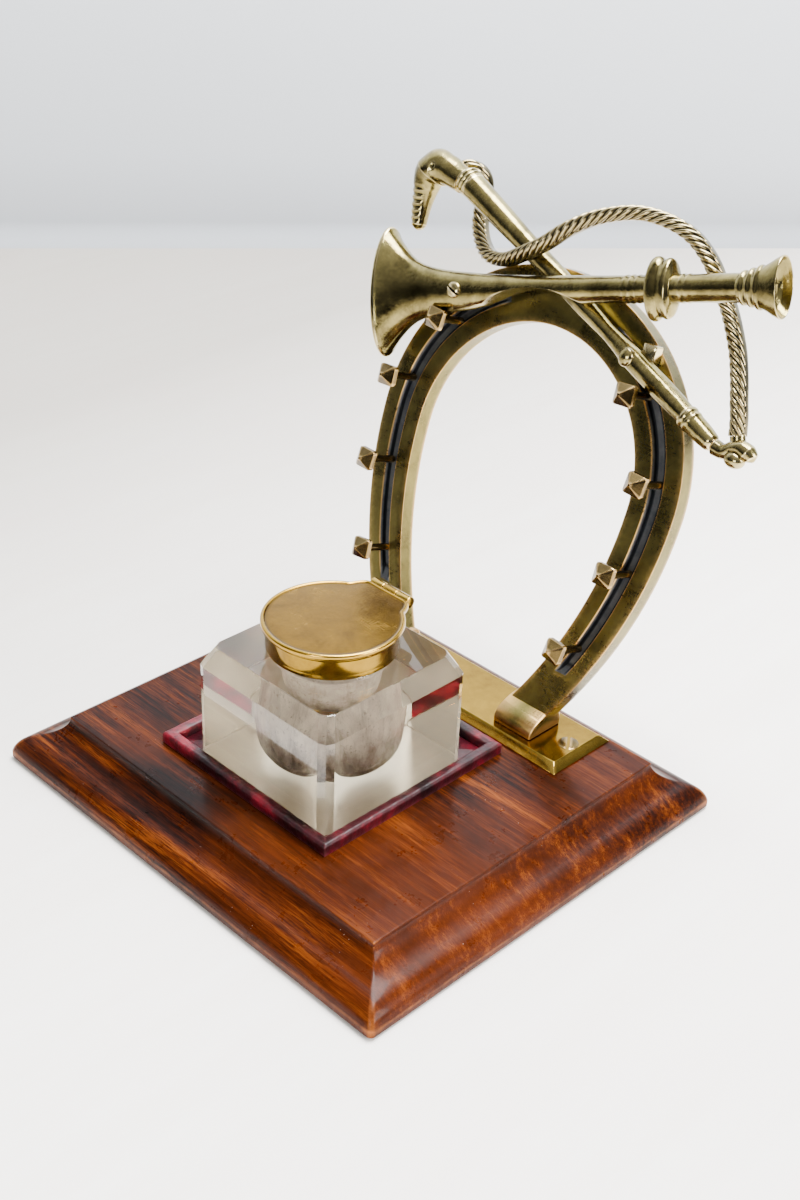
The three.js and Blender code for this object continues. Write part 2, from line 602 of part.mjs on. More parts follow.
// ---------------------------------------------------------------- horn
const hornProfile = [
  [0, 33], [3.2, 31], [5.2, 24], [8.2, 15], [12.6, 8.4], [18.6, 3.4], [23.6, 0.6], [24.3, 0],
  [25.0, 0.2], [25.1, 1.2], [24.0, 1.8], [19.6, 6.2], [15.0, 10.6], [12.0, 15.0],
  [9.6, 21.5], [8.2, 28.0], [7.2, 36.0], [6.4, 46.0], [5.6, 62.0], [5.2, 80.0],
  [4.8, 104.0], [4.7, 118.0], [4.9, hornLong], [0, hornLong],
];
// The horn is a flattened casting: the further it swells, the less of it stands out from the shoe.
const flattened = (body) => body.warp((point) => {
  const radius = Math.hypot(point[0], point[1]);
  if (radius > roundUpTo) point[1] *= (roundUpTo + flatness * (radius - roundUpTo)) / radius;
});
const onHorn = (body) => laid(flattened(body), hornStart, hornAngle, hornFront);
const notchAway = hornNotchRadius - 0.7;
const notchPoint = [
  hornStart[0] + hornNotchAt * Math.cos(hornAngle) + notchAway * Math.sin(hornAngle),
  hornStart[1] + hornNotchAt * Math.sin(hornAngle) - notchAway * Math.cos(hornAngle),
];
const notch = pegOut(hornNotchRadius, -40, 60, 72).translate([notchPoint[0], 0, notchPoint[1]]);
const knobBore = turned([
  [0, knobAt - 9], [4.95 + gap, knobAt - 9], [4.95 + gap, knobAt + 9], [0, knobAt + 9],
], 24);
const horn = onHorn(turned(hornProfile, 36)).subtract(notch).subtract(shoeClear)
  .subtract(cropClear).subtract(thongClear).subtract(hornScrewBore).subtract(nailSpace);
place(trophy, 'hunting_horn', horn, castBrass);

const knob = onHorn(turned([
  [0, knobAt - knobThick / 2], [8.2, knobAt - knobThick / 2], [knobRadius, knobAt - 3.0],
  [knobRadius, knobAt - 1.2], [9.8, knobAt + 0.4], [knobRadius - 0.8, knobAt + 2.0],
  [knobRadius - 0.8, knobAt + 3.2], [7.4, knobAt + knobThick / 2], [0, knobAt + knobThick / 2],
], 28).subtract(knobBore)).subtract(thongClear);
place(trophy, 'horn_knob', knob, castBrass);

const cup = onHorn(turned([
  [0, hornLong], [5.0, hornLong], [5.8, hornLong + 1.0], [5.2, hornLong + 2.2],
  [6.5, hornLong + 3.4], [6.0, hornLong + 4.8], [7.4, hornLong + 6.2], [7.2, hornLong + 7.8],
  [9.0, hornLong + 11.0], [10.6, hornLong + mouthpieceLong - 0.6], [10.4, hornLong + mouthpieceLong],
  [9.7, hornLong + mouthpieceLong], [7.4, hornLong + 11.4], [3.4, hornLong + 9.4], [0, hornLong + 9.0],
], 32));
place(trophy, 'horn_mouthpiece', cup, castBrass);

place(trophy, 'crop_shaft', cropShaft.subtract(shaftSpace).subtract(thongClear), castBrass);
place(trophy, 'whip_thong', thong, castBrass);

export default object;
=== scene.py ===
"""Hunting inkstand: glass inkwell on a mahogany board, under a leaning brass horseshoe."""
import math

import bpy
import numpy as np
from mathutils import Matrix, Vector


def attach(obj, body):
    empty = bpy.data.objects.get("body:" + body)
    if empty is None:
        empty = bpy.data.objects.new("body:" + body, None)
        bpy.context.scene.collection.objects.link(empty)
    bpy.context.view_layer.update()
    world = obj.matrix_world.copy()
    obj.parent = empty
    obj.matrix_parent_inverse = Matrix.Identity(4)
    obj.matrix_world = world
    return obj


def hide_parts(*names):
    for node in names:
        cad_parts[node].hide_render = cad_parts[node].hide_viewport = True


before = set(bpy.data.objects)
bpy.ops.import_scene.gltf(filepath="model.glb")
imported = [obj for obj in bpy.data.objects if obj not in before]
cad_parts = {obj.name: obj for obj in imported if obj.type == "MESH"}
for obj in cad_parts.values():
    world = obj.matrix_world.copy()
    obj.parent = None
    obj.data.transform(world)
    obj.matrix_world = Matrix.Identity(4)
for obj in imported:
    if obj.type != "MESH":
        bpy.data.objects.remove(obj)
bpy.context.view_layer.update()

# ---- camera
AZIMUTH, ELEVATION, ROLL = math.radians(44.19), math.radians(31.21), math.radians(2.40)
EYE = (0.36294, -0.35393, 0.3888)
right = Vector((math.cos(AZIMUTH), math.sin(AZIMUTH), 0))
back = Vector((
    math.sin(AZIMUTH) * math.cos(ELEVATION),
    -math.cos(AZIMUTH) * math.cos(ELEVATION),
    math.sin(ELEVATION),
))
above = back.cross(right)
tilted_right = right * math.cos(ROLL) + above * math.sin(ROLL)
tilted_up = above * math.cos(ROLL) - right * math.sin(ROLL)
camera_data = bpy.data.cameras.new("camera")
camera_data.lens = 50.0
camera_data.sensor_width = 36.0
camera = bpy.data.objects.new("camera", camera_data)
bpy.context.scene.collection.objects.link(camera)
camera.matrix_world = Matrix.Translation(EYE) @ Matrix(
    (tilted_right, tilted_up, back)
).transposed().to_4x4()
bpy.context.scene.camera = camera

# ---- sizes, millimetres
BOARD_X, BOARD_Y, BOARD_TOP = 83.2, 71.5, 19.8
PAD_X, PAD_Y = 98.0, 86.3
PLATE_X, PLATE_FRONT, PLATE_BACK, PLATE_THICK = 64.0, 38.1, 69.8, 3.2
PLATE_TOP = BOARD_TOP + PLATE_THICK
TRAY_X, TRAY_Y, TRAY_HALF, RAIL_WIDE, RAIL_TALL, LINER = -3.0, -10.3, 44.5, 4.8, 4.6, 1.2
BOTTLE_X, BOTTLE_Y, BOTTLE_HALF, BOTTLE_TOP_HALF, ARRIS = 1.4, -15.3, 34.4, 30.3, 2.6
BOTTLE_FOOT, SHOULDER, BOTTLE_TOP = 21.0, 59.8, 67.5
NECK, NECK_TOP, WELL, WELL_FLOOR, MOUTH = 20.4, 77.0, 18.0, 26.4, 15.0
COLLAR, COLLAR_FOOT, LID_FOOT, LID_TOP, LID = 24.0, 69.9, 79.0, 81.1, 25.5
HINGE_BACK, HINGE_HIGH, HINGE_R, HINGE_LONG = 28.8, 79.4, 2.3, 19.0
LEAN, SHOE_Y, SHOE_THICK = math.radians(19.06), 49.6, 7.5
OUTER_HALF, OUTER_RISE, OUTER_WIDEST = 71.5, 70.5, 95.0
INNER_HALF, INNER_RISE, INNER_WIDEST = 52.0, 52.3, 92.0
TAPER, HALF_BAR = 0.0033, 9.7
SCREW_X, FOOT_X = 57.0, 37.2
HORN_START, HORN_ANGLE, HORN_FRONT, HORN_LONG = (-77.2, 134.5), math.radians(16.6), 9.5, 158.0
NOTCH_AT, NOTCH_R = 72.0, 45.0
ROUND_UP_TO, FLATNESS = 4.5, 0.27
CROP_START, CROP_END, CROP_FRONT = (-58.0, 184.8), (80.5, 126.5), 4.6
SCREW_ALONG, RIVET_ALONG, BOSS_ALONG = 38, 104, 110
STRANDS, PITCH, CARVED_DEEP = 7, 23.0, 0.95
CROP_LONG = math.hypot(CROP_END[0] - CROP_START[0], CROP_END[1] - CROP_START[1])
CROP_ANGLE = math.atan2(CROP_END[1] - CROP_START[1], CROP_END[0] - CROP_START[0])


# ---- surface tools
def leaned(across, up, out):
    """Shoe's plane to the upright frame: up by the lean angle, out along the face's normal."""
    y = SHOE_Y + up * math.sin(LEAN) - out * math.cos(LEAN)
    z = PLATE_TOP + up * math.cos(LEAN) + out * math.sin(LEAN)
    return np.stack([across + 0 * y, y, z], -1)


def sheet_of(grid, ends=(True, True), around=True, ring=False):
    """Quads between neighbours in a grid; around closes the columns, ring the rows.

    An end row that is closed is fanned to its mean point.
    """
    rows, cols = grid.shape[:2]
    index = np.arange(rows * cols).reshape(rows, cols)
    a = np.vstack([index, index[:1]]) if ring else index
    a = np.hstack([a, a[:, :1]]) if around else a
    quads = np.stack([a[:-1, :-1], a[:-1, 1:], a[1:, 1:], a[1:, :-1]], -1).reshape(-1, 4)
    points = grid.reshape(-1, 3)
    faces = quads.tolist()
    for end, row, flip in ((ends[0], 0, 1), (ends[1], rows - 1, 0)):
        if end and not ring:
            middle = len(points)
            points = np.vstack([points, grid[row].mean(0)])
            one = index[row]
            two = np.roll(one, -1)
            fan = np.stack([one, two, np.full(cols, middle)], -1)
            faces += (fan[:, ::-1] if flip else fan).tolist()
    return points, faces


def wear_of(points, edges, normals):
    """How proud each point stands of its neighbours: mean edge direction against the normal."""
    total = np.zeros(len(points))
    count = np.zeros(len(points))
    step = points[edges[:, 1]] - points[edges[:, 0]]
    long = np.linalg.norm(step, axis=1) + 1e-9
    for end, sign in ((0, -1), (1, 1)):
        lift = sign * np.einsum("ij,ij->i", step, normals[edges[:, end]]) / long
        np.add.at(total, edges[:, end], lift)
        np.add.at(count, edges[:, end], 1)
    return np.clip(total / np.maximum(count, 1) * 2.2, -1, 1)


def piece(name, parts, body, finish, stands_for=(), sharp=35, second=None):
    """Joins sheets into one mesh in metres, smooth but for edges sharper than the angle."""
    points, faces, kinds = [], [], []
    start = 0
    for part in parts:
        p, f = part[:2]
        if signed_volume(p, f) < 0:
            f = [face[::-1] for face in f]
        points.append(p)
        faces += [[i + start for i in face] for face in f]
        kinds += [part[2] if len(part) > 2 else 0] * len(f)
        start += len(p)
    points = np.vstack(points) * 0.001
    mesh = bpy.data.meshes.new(name)
    mesh.from_pydata(points.tolist(), [], faces)
    mesh.update()
    mesh.shade_smooth()
    mesh.set_sharp_from_angle(angle=math.radians(sharp))
    edges = np.zeros(len(mesh.edges) * 2, np.int32)
    mesh.edges.foreach_get("vertices", edges)
    normals = np.zeros(len(points) * 3, np.float32)
    mesh.vertex_normals.foreach_get("vector", normals)
    wear = mesh.attributes.new("wear", "FLOAT", "POINT")
    wear.data.foreach_set("value", wear_of(points, edges.reshape(-1, 2), normals.reshape(-1, 3)))
    made = bpy.data.objects.new(name, mesh)
    bpy.context.scene.collection.objects.link(made)
    mesh.materials.append(finish)
    if second is not None:
        mesh.materials.append(second)
        mesh.polygons.foreach_set("material_index", kinds)
    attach(made, body)
    if stands_for:
        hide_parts(*stands_for)
    return made


def signed_volume(points, faces):
    """Sum of the tetrahedra from the mean point to each face's fan."""
    centre = points.mean(0)
    total = 0.0
    by_size = {}
    for face in faces:
        by_size.setdefault(len(face), []).append(face)
    for size, group in by_size.items():
        corner = points[np.array(group)] - centre
        for k in range(1, size - 1):
            total += np.einsum("ij,ij->i", corner[:, 0], np.cross(corner[:, k], corner[:, k + 1])).sum()
    return total


def full_turn(count):
    """Even angles once round, the last one short of the first."""
    return np.linspace(0, 2 * math.pi, count, endpoint=False)


def turned(profile, columns=64):
    """A (radius, height) profile carried round Z: x and y are radius times cosine and sine of the turn."""
    profile = np.asarray(profile, float)
    turn = full_turn(columns)
    radius, height = profile[:, :1], profile[:, 1:]
    return np.stack([radius * np.cos(turn), radius * np.sin(turn), height + 0 * turn], -1)


def softened(profile, radius=0.35, steps=4):
    """Rounds every corner of a polyline: a quadratic arc between points a short way along each side."""
    p = np.asarray(profile, float)
    into, out = p[:-2] - p[1:-1], p[2:] - p[1:-1]
    reach_in = np.linalg.norm(into, axis=1, keepdims=True)
    reach_out = np.linalg.norm(out, axis=1, keepdims=True)
    a = p[1:-1] + into / np.maximum(reach_in, 1e-9) * np.minimum(radius, reach_in * 0.45)
    b = p[1:-1] + out / np.maximum(reach_out, 1e-9) * np.minimum(radius, reach_out * 0.45)
    t = np.linspace(0, 1, steps)[None, :, None]
    arcs = (1 - t) ** 2 * a[:, None] + 2 * t * (1 - t) * p[1:-1][:, None] + t**2 * b[:, None]
    return np.vstack([p[:1], arcs.reshape(-1, p.shape[1]), p[-1:]])


def curve_through(route, count):
    """Catmull-Rom curve through the points, sampled evenly by its length."""
    p = np.asarray(route, float)
    p = np.vstack([2 * p[0] - p[1], p, 2 * p[-1] - p[-2]])
    t = np.linspace(0, len(route) - 1 - 1e-9, 1600)
    i = t.astype(int)
    f = (t - i)[:, None]
    a, b, c, d = p[i], p[i + 1], p[i + 2], p[i + 3]
    dense = 0.5 * (2 * b + (c - a) * f + (2 * a - 5 * b + 4 * c - d) * f**2 + (3 * b - a - 3 * c + d) * f**3)
    far = np.concatenate([[0], np.cumsum(np.linalg.norm(np.diff(dense, axis=0), axis=1))])
    even = np.linspace(0, far[-1], count)
    return np.stack([np.interp(even, far, dense[:, k]) for k in range(dense.shape[1])], -1), even


def carried(path, radius, turn):
    """Rings along a path: centre, plus radius by cosine across and by sine out of the face."""
    tangent = np.gradient(path, axis=0)
    tangent /= np.linalg.norm(tangent, axis=1, keepdims=True)
    out = np.array([0.0, -math.cos(LEAN), math.sin(LEAN)])
    side = np.cross(tangent, out)
    side /= np.linalg.norm(side, axis=1, keepdims=True)
    front = np.cross(side, tangent)
    return (
        path[:, None]
        + (radius * np.cos(turn))[..., None] * side[:, None]
        + (radius * np.sin(turn))[..., None] * front[:, None]
    )


def on_axis(start, angle, out, profile, columns=64, flat=False):
    """A (radius, distance) profile turned about a line in the shoe's plane.

    When flat, the wide parts stand out less than they spread.
    """
    profile = np.asarray(profile, float)
    turn = full_turn(columns)
    radius, along = profile[:, :1], profile[:, 1:]
    across = start[0] + along * math.cos(angle) - radius * np.sin(turn) * math.sin(angle)
    up = start[1] + along * math.sin(angle) + radius * np.sin(turn) * math.cos(angle)
    shallow = np.minimum(radius, ROUND_UP_TO + FLATNESS * (radius - ROUND_UP_TO)) if flat else radius
    return across, up, out + shallow * np.cos(turn)


def corner_ring(half_x, half_y, radius, z, per_side=10, per_corner=6):
    """Rounded rectangle: straight sides joined by quarter circles, one row for each height."""
    half_x, half_y, radius, z = np.broadcast_arrays(*[np.asarray(v, float)[..., None] for v in (half_x,
        half_y, radius, z)])
    quarter = np.linspace(0, math.pi / 2, per_corner)
    xs, ys = [], []
    for k, (sx, sy) in enumerate(((1, 1), (-1, 1), (-1, -1), (1, -1))):
        angle = quarter + k * math.pi / 2
        xs.append(sx * (half_x - radius) + radius * np.cos(angle))
        ys.append(sy * (half_y - radius) + radius * np.sin(angle))
    corners = [np.stack([x, y], -1) for x, y in zip(xs, ys)]
    mix = np.linspace(0, 1, per_side + 1)[1:-1][:, None]
    ring = []
    for k in range(4):
        ring.append(corners[k])
        a, b = corners[k][:, -1:, :], corners[(k + 1) % 4][:, :1, :]
        ring.append(a + (b - a) * mix)
    flat = np.concatenate(ring, 1)
    return np.concatenate([flat, np.broadcast_to(z[:, :1, None], flat.shape[:2] + (1,))], -1)


# ---- finishes
class Finish:
    """A material being put together: nodes are added by short calls and joined by their sockets."""

    def __init__(self, name):
        self.material = bpy.data.materials.new(name)
        self.material.use_nodes = True
        self.tree = self.material.node_tree
        self.tree.nodes.clear()
        self.out = self.node("OutputMaterial")
        self.coat = self.node("BsdfPrincipled")
        self.tree.links.new(self.coat.outputs[0], self.out.inputs[0])
        self.object = self.node("TexCoord").outputs["Object"]

    def node(self, kind):
        return self.tree.nodes.new("ShaderNode" + kind)

    def join(self, source, target):
        if isinstance(source, (int, float, tuple)):
            target.default_value = source
        else:
            self.tree.links.new(source, target)

    def shader(self, **values):
        for key, value in values.items():
            self.join(value, self.coat.inputs[key.replace("_", " ")])

    def stretch(self, scale, turn=(0, 0, 0), source=None, place=(0, 0, 0)):
        node = self.node("Mapping")
        node.inputs["Scale"].default_value = scale
        node.inputs["Rotation"].default_value = turn
        node.inputs["Location"].default_value = place
        self.join(source or self.object, node.inputs[0])
        return node.outputs[0]

    def axes(self):
        node = self.node("SeparateXYZ")
        self.join(self.object, node.inputs[0])
        return node.outputs

    def noise(self, scale, detail=4, rough=0.55, source=None, bend=0.0):
        node = self.node("TexNoise")
        node.inputs["Scale"].default_value = scale
        node.inputs["Detail"].default_value = detail
        node.inputs["Roughness"].default_value = rough
        node.inputs["Distortion"].default_value = bend
        self.join(source or self.object, node.inputs["Vector"])
        return node.outputs[0]

    def cells(self, scale, source=None, feature="F1"):
        node = self.node("TexVoronoi")
        node.feature = feature
        node.inputs["Scale"].default_value = scale
        self.join(source or self.object, node.inputs["Vector"])
        return node.outputs[0]

    def ramp(self, value, *stops):
        node = self.node("ValToRGB")
        while len(node.color_ramp.elements) < len(stops):
            node.color_ramp.elements.new(0.5)
        for element, (place, colour) in zip(node.color_ramp.elements, stops):
            element.position = place
            grey = isinstance(colour, (int, float))
            element.color = (colour, colour, colour, 1) if grey else (*colour, 1)
        self.join(value, node.inputs[0])
        return node.outputs[0]

    def maths(self, kind, a, b=0.0, c=0.0):
        node = self.node("Math")
        node.operation = kind
        for value, socket in zip((a, b, c), node.inputs):
            self.join(value, socket)
        return node.outputs[0]

    def times(self, a, b):
        return self.maths("MULTIPLY", a, b)

    def plus(self, a, b):
        return self.maths("ADD", a, b)

    def mix(self, amount, a, b, kind="MIX"):
        node = self.node("Mix")
        node.data_type = "RGBA"
        node.blend_type = kind
        self.join(amount, node.inputs[0])
        self.join(a if not isinstance(a, tuple) else (*a, 1), node.inputs[6])
        self.join(b if not isinstance(b, tuple) else (*b, 1), node.inputs[7])
        return node.outputs[2]

    def span(self, value, low, high, to_low, to_high):
        node = self.node("MapRange")
        for socket, v in zip(node.inputs, (value, low, high, to_low, to_high)):
            self.join(v, socket)
        return node.outputs[0]

    def wear(self, sign=1):
        node = self.node("Attribute")
        node.attribute_name = "wear"
        return self.times(node.outputs["Fac"], sign)

    def relief(self, height, strength, reach=0.0004, below=None):
        node = self.node("Bump")
        node.inputs["Strength"].default_value = strength
        node.inputs["Distance"].default_value = reach
        self.join(height, node.inputs["Height"])
        if below is not None:
            self.join(below, node.inputs["Normal"])
        return node.outputs[0]


def french_polished_mahogany():
    """Long fibres along X: streaks, open pores and a slow figure, under a clear glossy coat."""
    f = Finish("french_polished_mahogany")
    figure = f.noise(1, 5, 0.6, f.stretch((10, 78, 78)), 0.35)
    streak = f.noise(1, 6, 0.65, f.stretch((22, 560, 520)), 0.15)
    pores = f.noise(1, 3, 0.7, f.stretch((110, 2300, 2100)))
    broad = f.noise(14, 3, 0.5)
    tone = f.plus(f.times(figure, 0.55), f.times(streak, 0.45))
    wood = f.ramp(
        tone, (0.39, (0.0050, 0.0011, 0.0004)), (0.47, (0.018, 0.0030, 0.0005)),
        (0.54, (0.048, 0.0086, 0.0008)), (0.66, (0.160, 0.037, 0.0032)),
    )
    dark = f.ramp(pores, (0.40, 0.22), (0.52, 1.0))
    wood = f.mix(1.0, wood, dark, "MULTIPLY")
    wood = f.mix(f.ramp(broad, (0.44, 0.0), (0.72, 0.5)), wood, (0.075, 0.0130, 0.0011))
    worn = f.ramp(f.times(f.wear(), f.noise(160, 4, 0.7)), (0.05, 0.0), (0.20, 0.60))
    wood = f.mix(worn, wood, (0.50, 0.15, 0.030))
    dust = f.ramp(f.cells(520), (0.0, 0.75), (0.085, 0.0))
    keep = f.ramp(f.noise(60, 2), (0.60, 0.0), (0.68, 0.8))
    wood = f.mix(f.times(dust, keep), wood, (0.75, 0.66, 0.58))
    rough = f.span(f.noise(90, 4, 0.7), 0.3, 0.75, 0.24, 0.42)
    bump = f.relief(streak, 0.12, 0.0003)
    bump = f.relief(f.noise(38, 3), 0.10, 0.0010, bump)
    f.shader(Base_Color=wood, Roughness=rough, Normal=bump, Coat_Weight=0.055, Coat_Roughness=0.07)
    f.coat.inputs["Coat IOR"].default_value = 1.5
    f.coat.inputs["Specular IOR Level"].default_value = 0.06
    return f.material


def brass(name, bright, dull, edge, patina, rough=(0.14, 0.34), scale=1.0, scratch=0.10, pits=0.0):
    """Brass: bright metal clouded by patina, polished again on the proud edges, with fine scratches."""
    f = Finish(name)
    cloud = f.noise(42 * scale, 6, 0.62, None, 0.5)
    fine = f.noise(420 * scale, 4, 0.7)
    mass = f.plus(f.times(cloud, 0.75), f.times(fine, 0.25))
    skin = f.ramp(mass, (0.30, dull), (patina, tuple((a + b) / 2 for a, b in zip(dull, bright))),
        (0.78, bright))
    polished = f.ramp(f.plus(f.wear(), f.times(fine, 0.12)), (0.12, 0.0), (0.42, 0.9))
    skin = f.mix(polished, skin, edge)
    grime = f.ramp(f.plus(f.wear(-1), f.times(fine, 0.10)), (0.10, 0.0), (0.34, 0.92))
    skin = f.mix(grime, skin, tuple(0.22 * c for c in dull))
    lines = f.noise(1, 3, 0.6, f.stretch((140, 2600, 900), (0.3, 0.2, 0.8)))
    cross = f.noise(1, 3, 0.6, f.stretch((2200, 160, 700), (0.1, 0.5, -0.5)))
    rub = f.plus(lines, cross)
    roughness = f.span(f.plus(f.times(rub, 0.35), cloud), 0.5, 1.15, rough[0], rough[1])
    bump = f.relief(rub, scratch, 0.0002)
    if pits:
        bump = f.relief(f.noise(260, 5, 0.65), pits, 0.0010, bump)
    f.shader(Base_Color=skin, Metallic=1.0, Roughness=roughness, Normal=bump)
    return f.material


def bottle_glass():
    """Clear lead glass with a faint straw tint."""
    f = Finish("bottle_glass")
    f.shader(
        Base_Color=(0.90, 0.775, 0.55, 1), Roughness=0.0, IOR=1.50, Transmission_Weight=1.0,
        Normal=f.relief(f.noise(55, 2), 0.02, 0.0006),
    )
    return f.material


def ground_foot():
    """Ground underside of the bottle: clear glass with a fine matt tooth that blurs what it mirrors."""
    f = Finish("ground_foot")
    cloud = f.noise(45, 4, 0.6)
    f.shader(
        Base_Color=f.ramp(cloud, (0.35, (0.42, 0.33, 0.21)), (0.65, (0.62, 0.51, 0.36))), Roughness=0.34,
        IOR=1.45,
        Transmission_Weight=0.80, Normal=f.relief(cloud, 0.1, 0.0004),
    )
    return f.material


def stained_well():
    """Inside of the well: ground glass with an old grey ink film that thickens towards the floor."""
    f = Finish("stained_well")
    height = f.axes()
    low = f.span(height[2], 0.028, 0.045, 1.0, 0.35)
    blotch = f.noise(170, 6, 0.7, f.stretch((1, 1, 0.6)))
    film = f.ramp(f.times(blotch, low), (0.10, (0.86, 0.84, 0.86)), (0.19, (0.58, 0.55, 0.57)),
        (0.29, (0.26, 0.235, 0.245)), (0.42, (0.04, 0.034, 0.036)))
    streak = f.noise(1, 4, 0.7, f.stretch((300, 300, 45)))
    film = f.mix(f.ramp(streak, (0.50, 0.0), (0.64, 0.55)), film, (0.22, 0.20, 0.205))
    speck = f.ramp(f.noise(520, 5, 0.8), (0.56, 0.0), (0.66, 0.8))
    film = f.mix(speck, film, (0.10, 0.08, 0.08))
    lathe = f.ramp(f.noise(1, 1, 0.5, f.stretch((3, 3, 620))), (0.46, 0.0), (0.58, 0.85))
    in_neck = f.span(height[2], 0.0595, 0.0640, 0.0, 1.0)
    film = f.mix(f.times(lathe, in_neck), film, (0.10, 0.085, 0.085))
    f.shader(
        Base_Color=film, Roughness=f.span(blotch, 0.3, 0.7, 0.30, 0.55), IOR=1.45,
        Transmission_Weight=0.42, Normal=f.relief(blotch, 0.25, 0.0004),
    )
    return f.material


def tray_leather():
    """Glazed crimson leather, nearly black where it is rubbed and dirty, with a fine pebbled grain."""
    f = Finish("tray_leather")
    grain = f.cells(900, None, "SMOOTH_F1")
    cloud = f.noise(60, 5, 0.7)
    skin = f.ramp(cloud, (0.38, (0.0060, 0.0006, 0.0016)), (0.50, (0.035, 0.0009, 0.0040)),
        (0.64, (0.18, 0.0022, 0.0130)))
    worn = f.ramp(f.times(f.wear(), f.noise(300, 4, 0.7)), (0.22, 0.0), (0.55, 0.5))
    skin = f.mix(worn, skin, (0.13, 0.035, 0.040))
    bump = f.relief(grain, 0.35, 0.0003)
    bump = f.relief(f.noise(700, 4, 0.7), 0.2, 0.0003, bump)
    f.shader(Base_Color=skin, Roughness=f.span(cloud, 0.3, 0.7, 0.28, 0.55), Normal=bump,
        Coat_Weight=0.10, Coat_Roughness=0.22)
    f.coat.inputs["Specular IOR Level"].default_value = 0.25
    return f.material


def felted_baize():
    """Blue-green baize: short matted wool, lighter where the nap stands."""
    f = Finish("felted_baize")
    nap = f.noise(1400, 6, 0.8)
    wool = f.ramp(nap, (0.3, (0.10, 0.20, 0.20)), (0.7, (0.36, 0.50, 0.48)))
    f.shader(Base_Color=wool, Roughness=0.95, Normal=f.relief(nap, 0.6, 0.0005))
    f.coat.inputs["Sheen Weight"].default_value = 0.4
    return f.material


mahogany = french_polished_mahogany()
polished = brass(
    "polished_brass", (0.37, 0.225, 0.023), (0.10, 0.052, 0.006), (0.74, 0.49, 0.10), 0.50, (0.06, 0.20),
    0.8, 0.04)
lid_top = brass(
    "handled_brass", (0.225, 0.122, 0.010), (0.078, 0.038, 0.0035), (0.52, 0.32, 0.05), 0.52,
    (0.10, 0.32), 1.7, 0.07, 0.03)
aged = brass(
    "aged_brass", (0.235, 0.195, 0.058), (0.055, 0.042, 0.013), (0.66, 0.39, 0.14), 0.50, (0.20, 0.38),
    1.3, 0.08, 0.06)
groove_black = brass(
    "groove_patina", (0.16, 0.165, 0.16), (0.035, 0.042, 0.056), (0.3, 0.22, 0.1), 0.5, (0.35, 0.55), 1.5,
    0.1, 0.15)
dark = brass(
    "dark_brass", (0.115, 0.080, 0.028), (0.030, 0.020, 0.008), (0.42, 0.28, 0.11), 0.52, (0.12, 0.30),
    1.6, 0.06, 0.10)
cast = brass(
    "cast_brass", (0.42, 0.345, 0.125), (0.036, 0.027, 0.010), (0.80, 0.66, 0.35), 0.52, (0.08, 0.24),
    2.0, 0.05, 0.16)
corded = brass(
    "corded_brass", (0.20, 0.165, 0.075), (0.040, 0.030, 0.013), (0.46, 0.37, 0.19), 0.50, (0.10, 0.26),
    2.4, 0.05, 0.10)
glass = bottle_glass()
foot_glass = ground_foot()
well_film = stained_well()
leather = tray_leather()
baize = felted_baize()


# ---- the board
def moulding_section():
    """Arris, hollow and round as two quadratic arcs, then an upright fillet: (out, down) pairs."""
    t = np.linspace(0, 1, 13)[:, None]
    arc = lambda a, b, c: (1 - t) ** 2 * np.array(a) + 2 * t * (1 - t) * np.array(b) + t**2 * np.array(c)
    arris = arc((-0.55, 0.0), (0.0, 0.0), (0.0, 0.55))
    hollow = arc((0.12, 1.75), (1.9, 6.4), (8.7, 8.85))
    half_round = arc((8.9, 8.9), (15.2, 10.4), (16.8, 16.2))
    foot = arc((16.8, 18.3), (16.8, 19.0), (16.3, 19.0))
    return np.vstack([[[-4, 0], [-1.0, 0]], arris, [[0.0, 1.5]], hollow, half_round, foot])


section = moulding_section()
board_rows = corner_ring(
    BOARD_X + section[:, 0], BOARD_Y + section[:, 0],
    0.5 + 0.09 * np.clip(section[:, 0], 0, 99), BOARD_TOP - section[:, 1], 24, 6,
)
piece("mahogany_board", [sheet_of(board_rows)], "stand", mahogany, ["base_board"], 40)

pad_rows = corner_ring(
    np.array([97.2, PAD_X, PAD_X, 97.2]), np.array([85.5, PAD_Y, PAD_Y, 85.5]),
    np.full(4, 2.0), np.array([0.0, 0.25, 0.6, 0.8]), 90, 6,
)
fray = np.random.default_rng(4).normal(0, 0.12, pad_rows.shape[1])
pad_rows[1:3, :, :2] *= (1 - np.abs(fray) * 0.004)[None, :, None]
piece("baize_lining", [sheet_of(pad_rows)], "stand", baize, ["baize_pad"], 60)


# ---- the tray
def mitred_rail(turn):
    """Rail section along one side, its ends mitred: x reaches half the tray less the inset."""
    outline = softened(
        [(0.0, 0.0), (0.0, RAIL_TALL - 0.9), (0.7, RAIL_TALL - 0.1), (2.2, RAIL_TALL),
        (RAIL_WIDE - 0.8, RAIL_TALL - 0.3),
         (RAIL_WIDE, RAIL_TALL - 1.2), (RAIL_WIDE, 0.0), (RAIL_WIDE - 0.01, 0.0)], 0.55, 5)
    along = np.linspace(-1, 1, 60)[:, None]
    inset = outline[None, :, 0]
    x = along * (TRAY_HALF - inset)
    swell = 0.10 * np.sin(along * 37) * np.sin(along * 11 + 1)
    y = -TRAY_HALF + inset + 0 * x
    z = np.clip(outline[None, :, 1] + swell * (outline[None, :, 1] > 2), 0, RAIL_TALL) + 0 * x
    c, s = math.cos(turn), math.sin(turn)
    return np.stack([TRAY_X + c * x - s * y, TRAY_Y + s * x + c * y, BOARD_TOP + z], -1)


for k, side in enumerate(("front", "right", "back", "left")):
    piece(f"leather_rail_{side}", [sheet_of(mitred_rail(k * math.pi / 2))], "stand", leather,
          [f"tray_rail_{side}"], 50)

